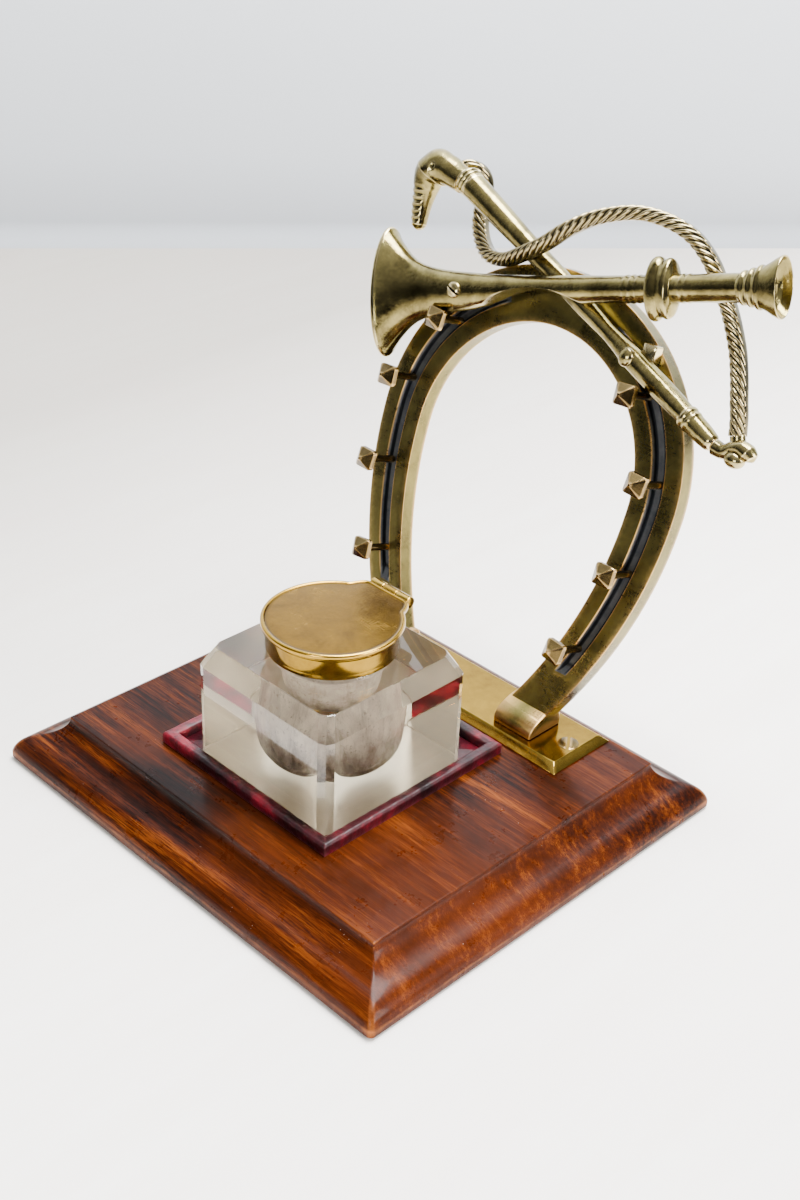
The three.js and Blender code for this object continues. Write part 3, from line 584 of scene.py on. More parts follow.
floor_half = TRAY_HALF - RAIL_WIDE
floor_inset = np.array([0.0, 0.0, 0.3])
floor_rows = corner_ring(
    floor_half - floor_inset, floor_half - floor_inset, np.full(3, 0.3),
    BOARD_TOP + np.array([0.0, LINER - 0.4, LINER - 0.1]), 20, 4)
floor_rows[..., :2] += np.array([TRAY_X, TRAY_Y])
piece("leather_floor", [sheet_of(floor_rows)], "stand", leather, ["tray_liner"], 50)


# ---- the bottle
def bottle_block():
    """Chamfered squares up the sides and bevel, then circles up the neck and down the well."""
    turn = full_turn(96)

    def squared(half):
        c, s = np.abs(np.cos(turn)), np.abs(np.sin(turn))
        square = half / np.maximum(c, s)
        chamfer = (2 * half - ARRIS) / (c + s)
        return np.minimum(square, chamfer)

    rows = [(squared(BOTTLE_HALF - 0.4), BOTTLE_FOOT), (squared(BOTTLE_HALF), BOTTLE_FOOT + 0.4)]
    for z in np.linspace(BOTTLE_FOOT + 1, SHOULDER - 0.5, 6):
        rows.append((squared(BOTTLE_HALF), z))
    rows += [(squared(BOTTLE_HALF), SHOULDER - 0.15), (squared(BOTTLE_HALF - 0.12), SHOULDER + 0.15)]
    for f in (0.3, 0.6):
        rows.append((squared(BOTTLE_HALF + (BOTTLE_TOP_HALF - BOTTLE_HALF) * f),
            SHOULDER + (BOTTLE_TOP - SHOULDER) * f))
    rows += [(squared(BOTTLE_TOP_HALF + 0.1), BOTTLE_TOP - 0.2),
        (squared(BOTTLE_TOP_HALF - 0.25), BOTTLE_TOP)]
    rows.append((squared(BOTTLE_TOP_HALF - 2), BOTTLE_TOP))
    one = np.ones_like(turn)
    for r, z in ((NECK + 1.6, BOTTLE_TOP), (NECK + 0.5, BOTTLE_TOP + 0.25), (NECK, BOTTLE_TOP + 1.0),
                 (NECK, BOTTLE_TOP + 1.7), (NECK - 0.35, BOTTLE_TOP + 2.0), (NECK - 0.35, 72),
                 (NECK - 0.35, NECK_TOP - 0.6),
                 (NECK - 0.9, NECK_TOP), (MOUTH + 0.8, NECK_TOP), (MOUTH, NECK_TOP - 0.8)):
        rows.append((r * one, z))
    inside = [(MOUTH, 70), (MOUTH, 68.6), (MOUTH + 0.45, 68.2), (MOUTH + 0.45, 67.7), (MOUTH, 67.3),
        (MOUTH, 66.4),
              (MOUTH + 0.5, 66.0), (MOUTH + 0.5, 65.4), (MOUTH + 0.15, 64.9), (MOUTH + 0.9, 63.8),
              (16.6, 62), (17.6, 60), (WELL, 57.5), (WELL, 54), (WELL, 50),
              (17.7, 45), (17.3, 41), (16.8, 37.4), (16.2, 34), (15.2, 31.4), (13.6, 29.4), (11.4, 27.9),
              (8.6, 27.0), (3.0, WELL_FLOOR + 0.1)]
    split = len(rows)
    for r, z in inside:
        rows.append((r * one, z))
    radius = np.array([r for r, _ in rows])
    height = np.array([z for _, z in rows])[:, None] + 0 * radius
    grid = np.stack([BOTTLE_X + radius * np.cos(turn), BOTTLE_Y + radius * np.sin(turn), height], -1)
    return grid, split


grid, split = bottle_block()
glass_points, glass_faces = sheet_of(grid)
columns = grid.shape[1]
row_of = [min(f) // columns for f in glass_faces]
inner = [1 if (r >= split and len(f) == 4) or (len(f) == 3 and min(f) >= columns) else 0 for r,
    f in zip(row_of, glass_faces)]
bottle_piece = piece("glass_bottle", [(glass_points, glass_faces)], "bottle", glass,
    ["ink_bottle"], 12, well_film)
bottle_piece.data.materials.append(foot_glass)
inner = [2 if (len(f) == 3 and min(f) < columns) or (len(f) == 4 and r == 0) else k for f, r,
    k in zip(glass_faces, row_of, inner)]
bottle_piece.data.polygons.foreach_set("material_index", inner)


# ---- collar and lid
def ring_round(profile, x=BOTTLE_X, y=BOTTLE_Y, columns=128):
    """A profile turned about the bottle's upright axis."""
    return turned(profile, columns) + np.array([x, y, 0])


def knuckle(x0, x1):
    """Short rod along X with eased ends, on the hinge line."""
    profile = softened([(0.3, x0), (HINGE_R, x0), (HINGE_R, x1), (0.3, x1)], 0.3, 4)
    turn = full_turn(40)
    r, x = profile[:, :1], profile[:, 1:]
    return np.stack([
        BOTTLE_X + x + 0 * turn, BOTTLE_Y + HINGE_BACK + r * np.cos(turn), HINGE_HIGH + r * np.sin(turn)], -1)


def slab_of(outline, z0, z1, ease=0.25):
    """Flat outline given thickness, its rims eased."""
    outline = np.asarray(outline, float)
    middle = outline.mean(0)
    shrink = lambda k: middle + (outline - middle) * (1 - k / np.abs(outline - middle).max())
    rows = [(shrink(ease), z0), (outline, z0 + ease), (outline, z1 - ease), (shrink(ease), z1)]
    return np.stack([np.concatenate([p, np.full((len(p), 1), z)], 1) for p, z in rows])


collar_section = softened([
    (NECK + 0.4, COLLAR_FOOT + 3), (NECK + 0.4, COLLAR_FOOT), (COLLAR - 0.5, COLLAR_FOOT),
    (COLLAR, COLLAR_FOOT + 0.6),
    (COLLAR - 0.12, COLLAR_FOOT + 2.0), (COLLAR - 0.12, LID_FOOT - 1.4), (COLLAR, LID_FOOT - 1.0),
    (COLLAR, LID_FOOT - 0.35), (MOUTH + 1.2, LID_FOOT - 0.35), (MOUTH + 1.2, NECK_TOP + 0.4),
    (NECK + 0.4, NECK_TOP + 0.4), (NECK + 0.4, COLLAR_FOOT + 3)], 0.22, 4)[:-1]
third = HINGE_LONG / 3
tab = lambda x0, x1: slab_of([
    (BOTTLE_X + x0, BOTTLE_Y + 21), (BOTTLE_X + x1, BOTTLE_Y + 21),
    (BOTTLE_X + x1, BOTTLE_Y + HINGE_BACK), (BOTTLE_X + x0, BOTTLE_Y + HINGE_BACK)],
    HINGE_HIGH - HINGE_R + 0.1, LID_FOOT - 0.4)
piece("brass_collar", [
    sheet_of(ring_round(collar_section), ring=True),
    sheet_of(knuckle(-HINGE_LONG / 2, -third / 2 - 0.3)), sheet_of(knuckle(third / 2 + 0.3, HINGE_LONG / 2)),
    sheet_of(tab(-HINGE_LONG / 2, -third / 2 - 0.3)), sheet_of(tab(third / 2 + 0.3, HINGE_LONG / 2)),
], "bottle", polished, ["bottle_collar", "hinge_pin"], 40)


def lid_rows():
    """Disc whose radius is eased out to a straight line near the hinge, as its tab."""
    turn = full_turn(240)
    off = np.abs((turn - math.pi / 2 + math.pi) % (2 * math.pi) - math.pi)
    ease = np.clip((math.radians(34) - off) / math.radians(17), 0, 1)
    ease = ease * ease * (3 - 2 * ease)
    straight = 27.4 / np.cos(np.minimum(off, 0.6))
    outline = LID + (straight - LID) * ease
    inset = [(6.0, LID_FOOT), (0.6, LID_FOOT), (0.15, LID_FOOT + 0.15), (0.0, LID_FOOT + 0.5),
        (0.0, LID_TOP - 0.75),
             (0.15, LID_TOP - 0.35), (0.5, LID_TOP - 0.08), (0.9, LID_TOP), (1.3, LID_TOP - 0.1),
             (1.6, LID_TOP - 0.34),
             (1.9, LID_TOP - 0.42), (3.0, LID_TOP - 0.36), (10, LID_TOP - 0.22), (18, LID_TOP - 0.14),
             (23, LID_TOP - 0.12)]
    rows = []
    for cut, z in inset:
        r = outline - cut
        r = np.where(cut > 5, LID - cut + (r - (LID - cut)) * 0.2, r)
        rows.append(np.stack([BOTTLE_X + r * np.cos(turn), BOTTLE_Y + r * np.sin(turn), z + 0 * turn], -1))
    return np.array(rows)


piece("brass_lid", [sheet_of(lid_rows()), sheet_of(knuckle(-third / 2, third / 2))], "lid",
    lid_top,
      ["lid"], 40)


# ---- plate and screws
plate_y = (PLATE_FRONT + PLATE_BACK) / 2
half_y = (PLATE_BACK - PLATE_FRONT) / 2
inset = np.array([0.25, 0.0, 0.0, 0.10, 2.88, 3.05, 3.3, 5.0])
rise = np.array([0.0, 0.2, 0.50, 0.66, PLATE_THICK - 0.08, PLATE_THICK, PLATE_THICK, PLATE_THICK])
plate_rows = corner_ring(PLATE_X - inset, half_y - inset, np.full(8, 0.25), BOARD_TOP + rise, 20, 4)
plate_rows[..., 1] += plate_y
piece("bevelled_plate", [sheet_of(plate_rows)], "stand", polished, ["stand_plate"], 25)


def slotted_head(radius, rise, slot, deep):
    """Shallow dome cut by a slot: chords across the head, the middle ones lower."""
    across = np.array([-0.995, -0.9, -0.7, -0.45, -slot - 0.04, -slot, -slot, slot, slot, slot + 0.04,
        0.45, 0.7, 0.9, 0.995])
    sunk = np.array([0, 0, 0, 0, 0, 0.12, 1, 1, 0.12, 0, 0, 0, 0, 0.0])
    chord = np.linspace(-1, 1, 25)
    x = across[:, None] + 0 * chord
    y = chord * np.sqrt(1 - across[:, None] ** 2)
    r = np.minimum(np.hypot(x, y), 1)
    dome = rise * np.sqrt(np.clip(1 - r**2 * 0.93, 0, 1))
    top = np.stack([x * radius, y * radius, dome - sunk[:, None] * deep], -1)
    low = top * np.array([1, 1, 0]) + np.array([0, 0, -1.2])
    rim = np.concatenate([top[0], top[1:-1, -1], top[-1][::-1], top[1:-1, 0][::-1]])
    rim_low = rim * np.array([1, 1, 0]) + np.array([0, 0, -1.2])
    points, faces = sheet_of(top, (False, False), False)
    wall, wall_faces = sheet_of(np.stack([rim, rim_low]), (False, True))
    return [(points, faces), (wall, wall_faces)]


def placed(points, centre, turn):
    """Points turned about Z and moved to a centre."""
    c, s = math.cos(turn), math.sin(turn)
    return np.stack([centre[0] + c * points[:, 0] - s * points[:, 1],
        centre[1] + s * points[:, 0] + c * points[:, 1],
                     centre[2] + points[:, 2]], -1)


for side, name in ((-1, "left"), (1, "right")):
    skins = []
    for p, f in slotted_head(4.0, 0.9, 0.13, 0.8):
        skins.append((placed(p, (side * SCREW_X, plate_y, PLATE_TOP - 0.15), math.radians(35)), f))
    piece(f"slotted_screw_{name}", skins, "stand", dark, [f"plate_screw_{name}"], 30)


# ---- the horseshoe
def shoe_edge(half, rise, widest, t):
    """Half outline: up to 1 the branch, half minus taper times drop squared; then an ellipse."""
    low = np.clip(t, 0, 1)
    z = widest * low
    angle = np.clip(t - 1, 0, 1) * math.pi / 2
    x = np.where(t <= 1, half - TAPER * (widest - z) ** 2, half * np.cos(angle))
    return x, np.where(t <= 1, z, widest + rise * np.sin(angle))


def horseshoe_rows():
    """Bar section carried round the shoe from inner to outer edge, its groove sunk."""
    t = np.concatenate([np.linspace(0.01, 1, 90), np.linspace(1, 2, 90)[1:]])
    outer = np.stack(shoe_edge(OUTER_HALF, OUTER_RISE, OUTER_WIDEST, t), -1)
    inner_edge = np.stack(shoe_edge(INNER_HALF, INNER_RISE, INNER_WIDEST, t), -1)
    outer = np.vstack([outer, (outer * np.array([-1, 1]))[::-1][1:]])
    inner_edge = np.vstack([inner_edge, (inner_edge * np.array([-1, 1]))[::-1][1:]])
    t = np.concatenate([t, t[::-1][1:]])
    wide = np.linalg.norm(outer - inner_edge, axis=1) / 2
    run = np.clip((t - 0.27) / 0.05, 0, 1) * np.clip((1.74 - t) / 0.10, 0, 1)
    sink = 2.0 * run
    e = 0.55
    c, d, k = np.array([

        (-1, e, 0), (-1, e * 0.4, 0), (-1 + 0.25 * e / HALF_BAR, 0.1, 0), (-1 + e / HALF_BAR, 0, 0),
        (-0.62, 0, 0), (-0.34, 0, 0), (-0.295, 0.0, 0),
        (-0.27, 0.12, 1), (-0.19, 0.95, 1), (-0.09, 1.0, 1), (0.09, 1.0, 1), (0.19, 0.95, 1), (0.27, 0.12, 1),
        (0.295, 0.0, 0), (0.34, 0, 0), (0.62, 0, 0), (1 - e / HALF_BAR, 0, 0),
        (1 - 0.25 * e / HALF_BAR, 0.1, 0), (1, e * 0.4, 0), (1, e, 0),
        (1, 2.5, 0), (1, 5, 0), (1, SHOE_THICK - 0.8, 0), (1 - 0.25 / HALF_BAR, SHOE_THICK - 0.2, 0),
        (1 - 0.8 / HALF_BAR, SHOE_THICK, 0),
        (0.5, SHOE_THICK, 0), (0, SHOE_THICK, 0), (-0.5, SHOE_THICK, 0), (-1 + 0.8 / HALF_BAR, SHOE_THICK, 0),
        (-1 + 0.25 / HALF_BAR, SHOE_THICK - 0.2, 0), (-1, SHOE_THICK - 0.8, 0), (-1, 5, 0), (-1, 2.5, 0),
    ]).T
    middle = (outer + inner_edge) / 2
    reach = (outer - inner_edge) / 2
    flat = middle[:, None] + reach[:, None] * c[None, :, None]
    depth = np.where(k[None] == 1, d[None] * sink[:, None], d[None] + 0 * sink[:, None])
    grid = leaned(flat[..., 0], flat[..., 1], -depth)
    return grid, k, run


shoe_grid, in_groove, run = horseshoe_rows()
shoe_points, shoe_faces = sheet_of(shoe_grid)


def heel_foot(side):
    """Closed side outline with a rounded toe, carried across with eased cheeks."""
    outline = softened([
        (44.0, PLATE_TOP + 0.3), (44.0, PLATE_TOP + 2.6), (45.6, PLATE_TOP + 5.2),
        (48.6, PLATE_TOP + 6.9), (52.6, PLATE_TOP + 8.3),
        (56.5, PLATE_TOP + 8.8), (60.5, PLATE_TOP + 7.4), (61.5, PLATE_TOP + 3.0),
        (61.2, PLATE_TOP + 0.3)], 1.4, 5)
    middle = np.array([53.0, PLATE_TOP + 3.4])
    cheeks = [(-9.2, 0.55), (-9.0, 0.2), (-8.6, 0.0), (0, 0.0), (8.6, 0.0), (9.0, 0.2), (9.2, 0.55)]
    rows = []
    for x, cut in cheeks:
        away = outline - middle
        long = np.linalg.norm(away, axis=1, keepdims=True)
        p = middle + away * (1 - cut / long)
        p[:, 1] = np.maximum(p[:, 1], PLATE_TOP + 0.02)
        rows.append(np.stack([np.full(len(p), side * FOOT_X + x), p[:, 0], p[:, 1]], -1))
    return np.array(rows)


shoe_cols = shoe_grid.shape[1]
face_cols = np.array([[i % shoe_cols for i in f[:4]] for f in shoe_faces if len(f) == 4])
face_rows = np.array([min(f) // shoe_cols for f in shoe_faces if len(f) == 4])
groove_face = (in_groove[face_cols].sum(1) >= 3) & (run[np.minimum(face_rows, len(run) - 1)] > 0.05)
shoe_kinds = groove_face.astype(int).tolist() + [0] * (len(shoe_faces) - len(groove_face))
shoe = piece("horseshoe_bar", [(shoe_points, shoe_faces), sheet_of(heel_foot(-1)), sheet_of(heel_foot(1))],
             "stand", aged, ["horseshoe"], 24, groove_black)
kinds = np.zeros(len(shoe.data.polygons), np.int32)
kinds[:len(shoe_kinds)] = shoe_kinds
shoe.data.polygons.foreach_set("material_index", kinds)


# ---- nails
def square_nail(across, up, twist, seed):
    """Round shank, square head, low pyramid: the ring slides from circle to square."""
    turn = full_turn(48) + math.pi / 4
    square = 1 / np.maximum(np.abs(np.cos(turn)), np.abs(np.sin(turn)))
    square = np.minimum(square, 1.86 / (np.abs(np.cos(turn)) + np.abs(np.sin(turn))))
    stations = [(0, 1.5, -1.2), (0, 1.5, 2), (0, 1.45, 5), (0, 1.5, 9), (0, 1.75, 12.4),
        (0.3, 2.3, 12.85), (1, 3.7, 13.0), (1, 3.95, 13.25),
                (1, 4.0, 13.6), (1, 4.0, 15.0), (1, 3.9, 15.3), (1, 3.7, 15.5), (1, 2.6, 16.6),
                (1, 1.4, 17.8), (1, 0.45, 18.7)]
    rng = np.random.default_rng(seed)
    rows = []
    for kind, r, out in stations:
        ring = r * ((1 - kind) + kind * square)
        a = turn + twist
        lean_x, lean_z = rng.normal(0, 0.02, 2)
        rows.append(leaned(across + ring * np.cos(a) + lean_x, up + ring * np.sin(a) + lean_z,
            np.full_like(turn, out)))
    return np.array(rows)


for row, (across, up) in enumerate(((46.0, 133.0), (61.4, 105.5), (60.6, 71.4), (50.4, 37.5))):
    for side, name in ((-1, "left"), (1, "right")):
        twist = math.radians((4, -3, 2, -5)[row] * side)
        piece(f"square_nail_{name}_{row + 1}",
            [sheet_of(square_nail(side * across, up, twist, row * 2 + side + 1))],
              "stand", dark, [f"nail_{name}_{row + 1}"], 22)


# ---- horn
def point_along(start, angle, distance):
    """Place on a line in the shoe's plane."""
    return start[0] + distance * math.cos(angle), start[1] + distance * math.sin(angle)


def casting(name, grids, node, sharp, finish=cast):
    """One cast brass piece of the trophy, from its grids of points."""
    return piece(name, [sheet_of(grid) for grid in grids], "stand", finish, [node], sharp)


def horn_rows():
    """Flared tube turned on the horn's line; points inside the notch's circle move out to it."""
    inside = [(2.0, 31.5), (3.6, 28), (5.2, 22.5), (7.2, 17), (9.6, 12.4), (12.6, 8.4), (16.0, 5.2),
        (19.6, 2.6), (22.6, 0.9), (23.9, 0.35)]
    rim = [(24.4, 0.05), (24.9, 0.1), (25.1, 0.5), (25.1, 1.0), (24.8, 1.5), (24.2, 1.8)]
    flare = [(22.4, 3.0), (20.4, 4.8), (18.0, 7.0), (15.6, 9.6), (13.4, 12.4), (11.6, 15.6), (10.2, 19.4),
        (9.1, 24.0), (8.2, 29.5),
             (7.5, 36.0), (6.9, 43.0), (6.3, 50.0)]
    along = np.linspace(52, HORN_LONG, 210)
    tube_r = np.interp(along, [52, 62, 80, 104, 118, HORN_LONG], [6.15, 5.65, 5.25, 4.85, 4.75, 4.95])
    for place, rise in ((112.6, 0.26), (115.2, 0.34), (117.8, 0.26), (135.4, 0.34), (137.8, 0.24)):
        tube_r = tube_r + rise * np.exp(-(((along - place) / 0.62) ** 2))
    profile = np.vstack([inside, rim, flare, np.stack([tube_r, along], -1), [[4.0, HORN_LONG + 0.2]]])
    across, up, out = on_axis(HORN_START, HORN_ANGLE, HORN_FRONT, profile, 96, True)
    away = NOTCH_R - 0.7
    cx = HORN_START[0] + NOTCH_AT * math.cos(HORN_ANGLE) + away * math.sin(HORN_ANGLE)
    cz = HORN_START[1] + NOTCH_AT * math.sin(HORN_ANGLE) - away * math.cos(HORN_ANGLE)
    dx, dz = across - cx, up - cz
    far = np.hypot(dx, dz)
    push = np.maximum(NOTCH_R / far, 1)
    body = profile[:, 1:] > 36
    push = np.where(body, push, 1)
    return leaned(cx + dx * push, cz + dz * push, out)


casting("horn_body", [horn_rows()], "hunting_horn", 40)


def leaned_turning(start, angle, out, profile, columns=64, flat=False):
    """A turning on a line in the shoe's plane, in the upright frame."""
    return leaned(*on_axis(start, angle, out, profile, columns, flat))


def on_horn(profile, columns=80):
    """A turning on the horn's own line, flattened where it is wide."""
    return leaned_turning(HORN_START, HORN_ANGLE, HORN_FRONT, profile, columns, True)


knob_section = softened([
    (4.6, 122.4), (8.0, 122.4), (10.6, 123.0), (11.3, 124.4), (10.9, 125.9), (9.7, 127.2), (9.9, 128.0),
    (10.6, 129.2),
    (10.1, 130.6), (7.6, 131.4), (5.6, 132.0), (4.6, 132.0)], 0.9, 6)
casting("ring_knob", [on_horn(knob_section)], "horn_knob", 60)

L = HORN_LONG
cup_section = softened([
    (2.0, L - 1.0), (4.8, L - 0.8), (5.9, L + 0.4), (5.9, L + 1.2), (5.2, L + 1.9), (5.3, L + 2.5),
    (6.6, L + 3.3), (6.6, L + 4.1),
    (6.0, L + 4.8), (6.2, L + 5.4), (7.5, L + 6.3), (7.5, L + 7.2), (7.1, L + 7.9), (8.3, L + 10.2),
    (9.7, L + 12.6),
    (10.46, L + 14.3), (10.46, L + 14.9), (10.0, L + 15.0), (9.2, L + 13.6), (7.4, L + 11.6),
    (4.9, L + 10.2), (1.5, L + 9.5)], 0.35, 4)
casting("mouthpiece_cup", [on_horn(cup_section)], "horn_mouthpiece", 50)


def facing_out(parts, across, up, out, turn):
    """Turns a head modelled upright so that it looks out of the shoe's face."""
    c, s = math.cos(turn), math.sin(turn)
    return [(leaned(across + c * p[:, 0] - s * p[:, 1], up + s * p[:, 0] + c * p[:, 1], out + p[:, 2]),
        f) for p, f in parts]


screw_at = point_along(HORN_START, HORN_ANGLE, SCREW_ALONG)
piece("horn_screw_head", facing_out(slotted_head(3.1, 1.7, 0.14, 1.0), *screw_at, 14.6, math.radians(70)),
    "stand",
      cast, ["horn_screw"], 30)


# ---- crop
def on_crop(profile, columns=56):
    """A turning on the crop's own line."""
    return leaned_turning(CROP_START, CROP_ANGLE, CROP_FRONT, profile, columns)


shaft_at = np.linspace(4.0, CROP_LONG - 15, 80)
shaft_r = np.interp(
    shaft_at, [4, 18, 44, 60, 76, 90, 97, 103, 112, 128, CROP_LONG - 15],
    [5.1, 4.8, 4.0, 4.0, 3.8, 3.1, 3.5, 4.3, 4.3, 4.15, 3.7])
casting("crop_stick", [on_crop(np.stack([shaft_r, shaft_at], -1))], "crop_shaft", 50)

band = softened([
    (3.0, -0.1), (4.9, 0.0), (5.5, 0.9), (4.9, 1.7), (5.5, 2.6), (4.9, 3.5), (5.4, 4.3), (4.8, 5.0),
    (3.0, 5.0)], 0.4, 5)
casting("ringed_collar", [on_crop(band)], "crop_collar", 60)

E = CROP_LONG
tip = softened([(3.0, E - 16.2), (4.3, E - 16), (4.55, E - 14.6), (4.1, E - 13.6), (4.4, E - 12.6),
    (4.0, E - 11.4), (3.8, E - 6),
                (3.3, E - 2), (2.2, E - 0.1)], 0.5, 4)
casting("crop_tip", [on_crop(tip)], "crop_ferrule", 60)

rivet_at = point_along(CROP_START, CROP_ANGLE, RIVET_ALONG)
dome = turned(softened([(3.1, 7.6), (3.1, 8.6), (2.8, 9.4), (2.0, 10.1), (1.0, 10.55), (0.3, 10.65)], 0.3,
    4), 36)
casting("domed_rivet", [leaned(rivet_at[0] + dome[..., 0], rivet_at[1] + dome[..., 1] * 1.15,
    dome[..., 2])], "crop_rivet", 50)

boss_at = point_along(CROP_START, CROP_ANGLE, BOSS_ALONG)
boss = corner_ring(np.array([2.5, 2.9, 2.9, 2.4]), np.array([4.0, 4.4, 4.4, 3.8]), np.full(4, 0.5),
    np.array([0.1, 0.4, 4.2, 4.7]), 4, 4)
casting("crop_lug", [leaned(boss_at[0] + boss[..., 0], boss_at[1] + 4.5 + boss[..., 1], boss[..., 2])],
    "crop_boss", 40)

# handle: hook that swells at the knuckle and tapers to a ridged tip
handle_route = [
    (-58.4, 183.6, 4.6), (-62.6, 184.5, 4.6), (-67.6, 185.7, 4.6), (-72.8, 185.4, 4.6), (-75.9, 181.4, 4.6),
    (-76.4, 176.6, 4.6), (-76.3, 171.8, 4.6), (-75.8, 166.8, 4.6), (-74.5, 160.4, 4.6)]
hook, far = curve_through(handle_route, 150)
share = far / far[-1]
hook_r = np.interp(
    share, [0, 0.12, 0.26, 0.36, 0.44, 0.52, 0.64, 0.76, 0.87, 0.95, 0.985, 1.0],
    [5.0, 5.3, 6.0, 7.0, 7.2, 5.9, 4.8, 4.0, 3.5, 3.0, 1.9, 0.5])
turn = full_turn(56)
inner_side = np.clip(np.cos(turn - 0.7) * 2, 0, 1)[None]
ribs = 0.5 + 0.5 * np.sin(far[:, None] * 2.5 + 1.5 * turn[None])
ridges = 1 - 0.10 * ribs * inner_side * np.clip((share[:, None] - 0.56) * 8, 0, 1)
at_knuckle = np.clip(1.3 - np.abs(share[:, None] - 0.36) * 6, 0, 1)
knots = 1 + 0.035 * np.sin(turn * 3 + far[:, None] * 0.55) * at_knuckle
eye = np.exp(-(((far[:, None] - 12.6) / 0.75) ** 2 + ((turn[None] - 1.62) / 0.13) ** 2))
brow = np.exp(-(((far[:, None] - 12.2) / 2.6) ** 2 + ((turn[None] - 1.62) / 0.42) ** 2))
hook_grid = carried(leaned(*hook.T), hook_r[:, None] * ridges * knots + 0.35 * brow - 0.9 * eye, turn)
casting("hooked_handle", [hook_grid], "crop_handle", 60)

# thong: strands laid round a cord that loops over the stick and behind the horn
thong_route = [
    (-64.6, 184.8, 2.0), (-64.1, 187.8, 1.0), (-61.8, 189.2, -0.6), (-58.9, 188.4, -2.4),
    (-56.8, 185.9, -4.0), (-55.7, 182.2, -4.8), (-55.0, 178.2, -4.7), (-53.4, 173.8, -3.6),
    (-50.1, 168.6, -1.4), (-44.2, 163.5, 1.4), (-36.8, 160.6, 4.4),
    (-27.0, 161.6, 7.6), (-17.6, 165.6, 11.6), (-7.4, 172.4, 12.9), (-0.2, 179.8, 11.4),
    (8.4, 186.6, 8), (20.8, 191.7, 5), (32.7, 192.45, 3), (43.4, 190.1, 1.4),
    (51.9, 184.9, 0.3), (58.4, 178.6, -0.2), (64.8, 172.0, 0.2), (71.0, 165.4, 2),
    (76.2, 158.2, 3), (80.6, 150.0, 4), (83.4, 143.6, 4.6), (85.4, 138.6, 4.6), (87.2, 132.6, 4.6)]
rope, far = curve_through(thong_route, 620)
turn = full_turn(72)
cosine, sine = np.abs(np.cos(turn)), np.sin(turn)
flat_back = 2.6 / np.maximum(cosine, 1e-3)
flat_back = np.where(sine < 0, np.minimum(flat_back, 3.3 / np.maximum(-sine, 1e-3)), flat_back)
oval = 1 / np.sqrt((np.cos(turn) / 2.75) ** 2 + (sine / 3.45) ** 2)
plain = np.where(sine < 0.0, (flat_back ** -8 + 4.0 ** -8.0) ** (-1 / 8), np.minimum(flat_back, oval))
phase = STRANDS * (turn[None] - 2 * math.pi * far[:, None] / PITCH)
carved = np.clip((sine + 0.10) * 5, 0, 1)
rope_r = plain - CARVED_DEEP * carved * (1 - np.abs(np.cos(phase / 2)) ** 0.7)
casting("twisted_thong", [carried(leaned(*rope.T), rope_r, turn)], "whip_thong", 75, corded)


def bead(centre, radius, squash=(1, 1, 1)):
    """Ball from rings of latitude."""
    lat = np.linspace(-math.pi / 2 + 0.06, math.pi / 2 - 0.06, 24)[:, None]
    lon = full_turn(40)[None]
    return leaned(
        centre[0] + radius * squash[0] * np.cos(lat) * np.cos(lon),
        centre[1] + radius * squash[1] * np.cos(lat) * np.sin(lon),
        centre[2] + radius * squash[2] * np.sin(lat) + 0 * lon)


knot_route, far = curve_through([(80.6, 126.4, 4.6), (84.5, 126.2, 4.8), (88.0, 128.6, 5.4),
    (91.0, 129.4, 5.6), (94.5, 128.2, 5.2),
                                 (96.4, 126.6, 4.8)], 70)
knot_r = np.interp(far / far[-1], [0, 0.15, 0.4, 0.6, 0.8, 0.93, 1.0], [2.9, 2.7, 2.6, 2.9, 3.3, 2.4, 0.4])
round_turn = full_turn(40)
loop_route, loop_far = curve_through([(87.3, 132.9, 4.4), (88.4, 130.6, 4.2), (90.6, 128.8, 4.0),
    (92.6, 127.4, 4.2)], 30)
piece("thong_knot", [
    sheet_of(carried(leaned(*knot_route.T), knot_r[:, None] + 0 * round_turn, round_turn)),
    sheet_of(carried(leaned(*loop_route.T), 2.7 + 0 * (loop_far[:, None] + round_turn), round_turn)),
    sheet_of(bead((90.0, 125.2, 6.0), 3.4, (1.15, 0.9, 0.95))),
    sheet_of(bead((86.2, 127.0, 4.4), 2.7, (1.1, 0.8, 0.9)))],
    "stand", cast, ["whip_knot"], 60)


# ---- floor and light
def limed_floor():
    """Whitewashed boards: cream with faint brushed streaks and rosier patches, with painted shade darkening
    them towards the left.
    """
    f = Finish("limed_floor")
    brushed = f.noise(1, 5, 0.6, f.stretch((60, 6, 20), (0, 0, 0.75)))
    patch = f.noise(9, 4, 0.6)
    tone = f.ramp(brushed, (0.3, (0.93, 0.875, 0.815)), (0.7, (0.97, 0.93, 0.88)))
    tone = f.mix(f.ramp(patch, (0.45, 0.0), (0.7, 0.5)), tone, (0.96, 0.87, 0.83))
    split = f.axes()
    # painted shade: the boards are multiplied darker from x = 0.02 m out to x = -0.36 m, standing in for the
    # shade on the floor's left
    tone = f.mix(f.span(split[0], -0.36, 0.02, 1.0, 0.0), tone, (0.42, 0.41, 0.39), "MULTIPLY")
    f.shader(Base_Color=tone, Roughness=0.8, Normal=f.relief(brushed, 0.1, 0.0004))
    return f.material


def grey_wall():
    """Blue-grey wall with painted shade darkening it towards the floor, painted on its front only."""
    f = Finish("grey_wall")
    split = f.axes()
    # painted shade: the colour darkens from 0.30 m down to the floor, darkest in a band just above it
    tone = f.ramp(split[2], (0.0, (0.34, 0.355, 0.375)), (0.012, (0.44, 0.465, 0.50)),
        (0.06, (0.56, 0.595, 0.64)), (0.30, (0.76, 0.805, 0.86)))
    f.shader(Base_Color=tone, Roughness=0.9)
    clear = f.node("BsdfTransparent")
    sided = f.node("MixShader")
    f.join(f.node("NewGeometry").outputs["Backfacing"], sided.inputs[0])
    f.join(f.coat.outputs[0], sided.inputs[1])
    f.join(clear.outputs[0], sided.inputs[2])
    f.join(sided.outputs[0], f.out.inputs[0])
    return f.material


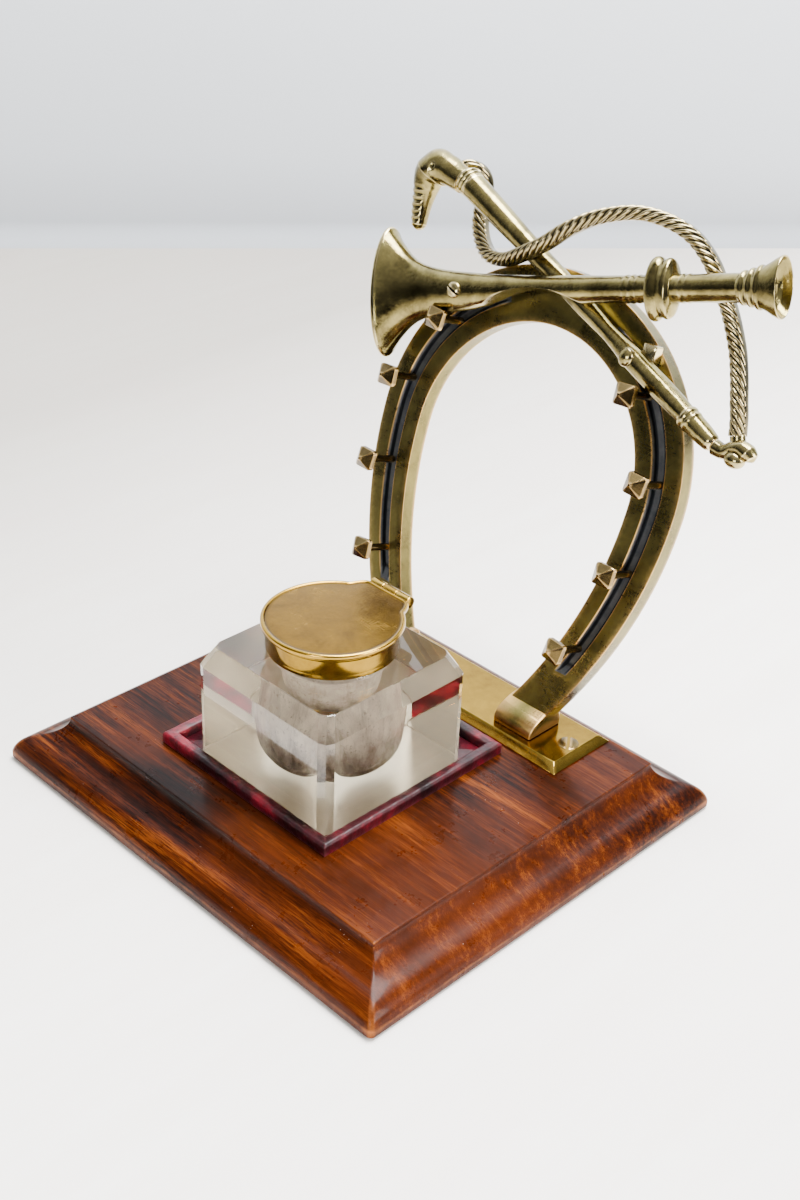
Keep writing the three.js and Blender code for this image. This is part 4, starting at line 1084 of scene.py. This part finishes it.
along_wall = Vector((0.6258, 0.7800, 0))
off_wall = Vector((-0.7800, 0.6258, 0))
WALL, COVE = 0.612, 0.014


def cove():
    """Floor that turns up into the wall through a quarter circle, carried along the wall."""
    bend = np.linspace(0, math.pi / 2, 12)
    reach = np.concatenate([[-3.0, -0.5], WALL - COVE + COVE * np.sin(bend), [WALL]])
    height = np.concatenate([[0, 0], COVE * (1 - np.cos(bend)), [3.0]])
    return [[tuple(along_wall * x + off_wall * r + Vector((0, 0, h))) for x in (-4, 4)] for r,
        h in zip(reach, height)]


strip = cove()
for name, rows, finish in (("floor", strip[:3], limed_floor()), ("wall", strip[2:], grey_wall())):
    mesh = bpy.data.meshes.new(name)
    mesh.from_pydata([p for row in rows for p in row], [],
        [[2 * k, 2 * k + 1, 2 * k + 3, 2 * k + 2] for k in range(len(rows) - 1)])
    mesh.shade_smooth()
    mesh.materials.append(finish)
    made = bpy.data.objects.new(name, mesh)
    bpy.context.scene.collection.objects.link(made)


def soft_light(name, place, aim, size, power, colour=(1, 1, 1)):
    """Rectangular lamp turned to face a point."""
    data = bpy.data.lights.new(name, "AREA")
    data.shape = "RECTANGLE"
    data.size, data.size_y = size
    data.energy = power
    data.color = colour
    made = bpy.data.objects.new(name, data)
    bpy.context.scene.collection.objects.link(made)
    made.location = place
    made.rotation_mode = "QUATERNION"
    made.rotation_quaternion = (Vector(aim) - Vector(place)).to_track_quat("-Z", "Y")
    return made


soft_light("left_softbox", (-1.45, -0.10, 0.45), (0, 0, 0.08), (0.45, 0.45), 22, (1.0, 0.99, 0.97))
soft_light("right_softbox", (1.30, 0.35, 0.62), (0, 0, 0.08), (0.55, 0.65), 30, (1.0, 0.98, 0.96))
soft_light("front_panel", (0.45, -1.15, 0.52), (0, 0, 0.12), (0.32, 0.45), 9, (1.0, 1.0, 0.98))
soft_light("overhead", (0.05, 0.42, 1.60), (0, 0.05, 0.0), (1.0, 0.8), 128, (0.98, 0.99, 1.0))
world = bpy.data.worlds.new("studio")
world.use_nodes = True
nodes, links = world.node_tree.nodes, world.node_tree.links
direction = nodes.new("ShaderNodeTexCoord").outputs["Generated"]
split_xyz = nodes.new("ShaderNodeSeparateXYZ")
links.new(direction, split_xyz.inputs[0])
room = nodes.new("ShaderNodeValToRGB")
for place, colour in ((0.0, (0.06, 0.06, 0.065)), (0.5, (0.06, 0.062, 0.07)), (0.64, (0.10, 0.105, 0.12)),
    (1.0, (0.65, 0.70, 0.78))):
    element = room.color_ramp.elements[0] if place == 0 else room.color_ramp.elements.new(place)
    element.color = (*colour, 1)
height_share = nodes.new("ShaderNodeMapRange")
links.new(split_xyz.outputs[2], height_share.inputs["Value"])
height_share.inputs["From Min"].default_value = -1
links.new(height_share.outputs[0], room.inputs[0])
links.new(room.outputs[0], nodes["Background"].inputs[0])
nodes["Background"].inputs[1].default_value = 1.0
bpy.context.scene.world = world
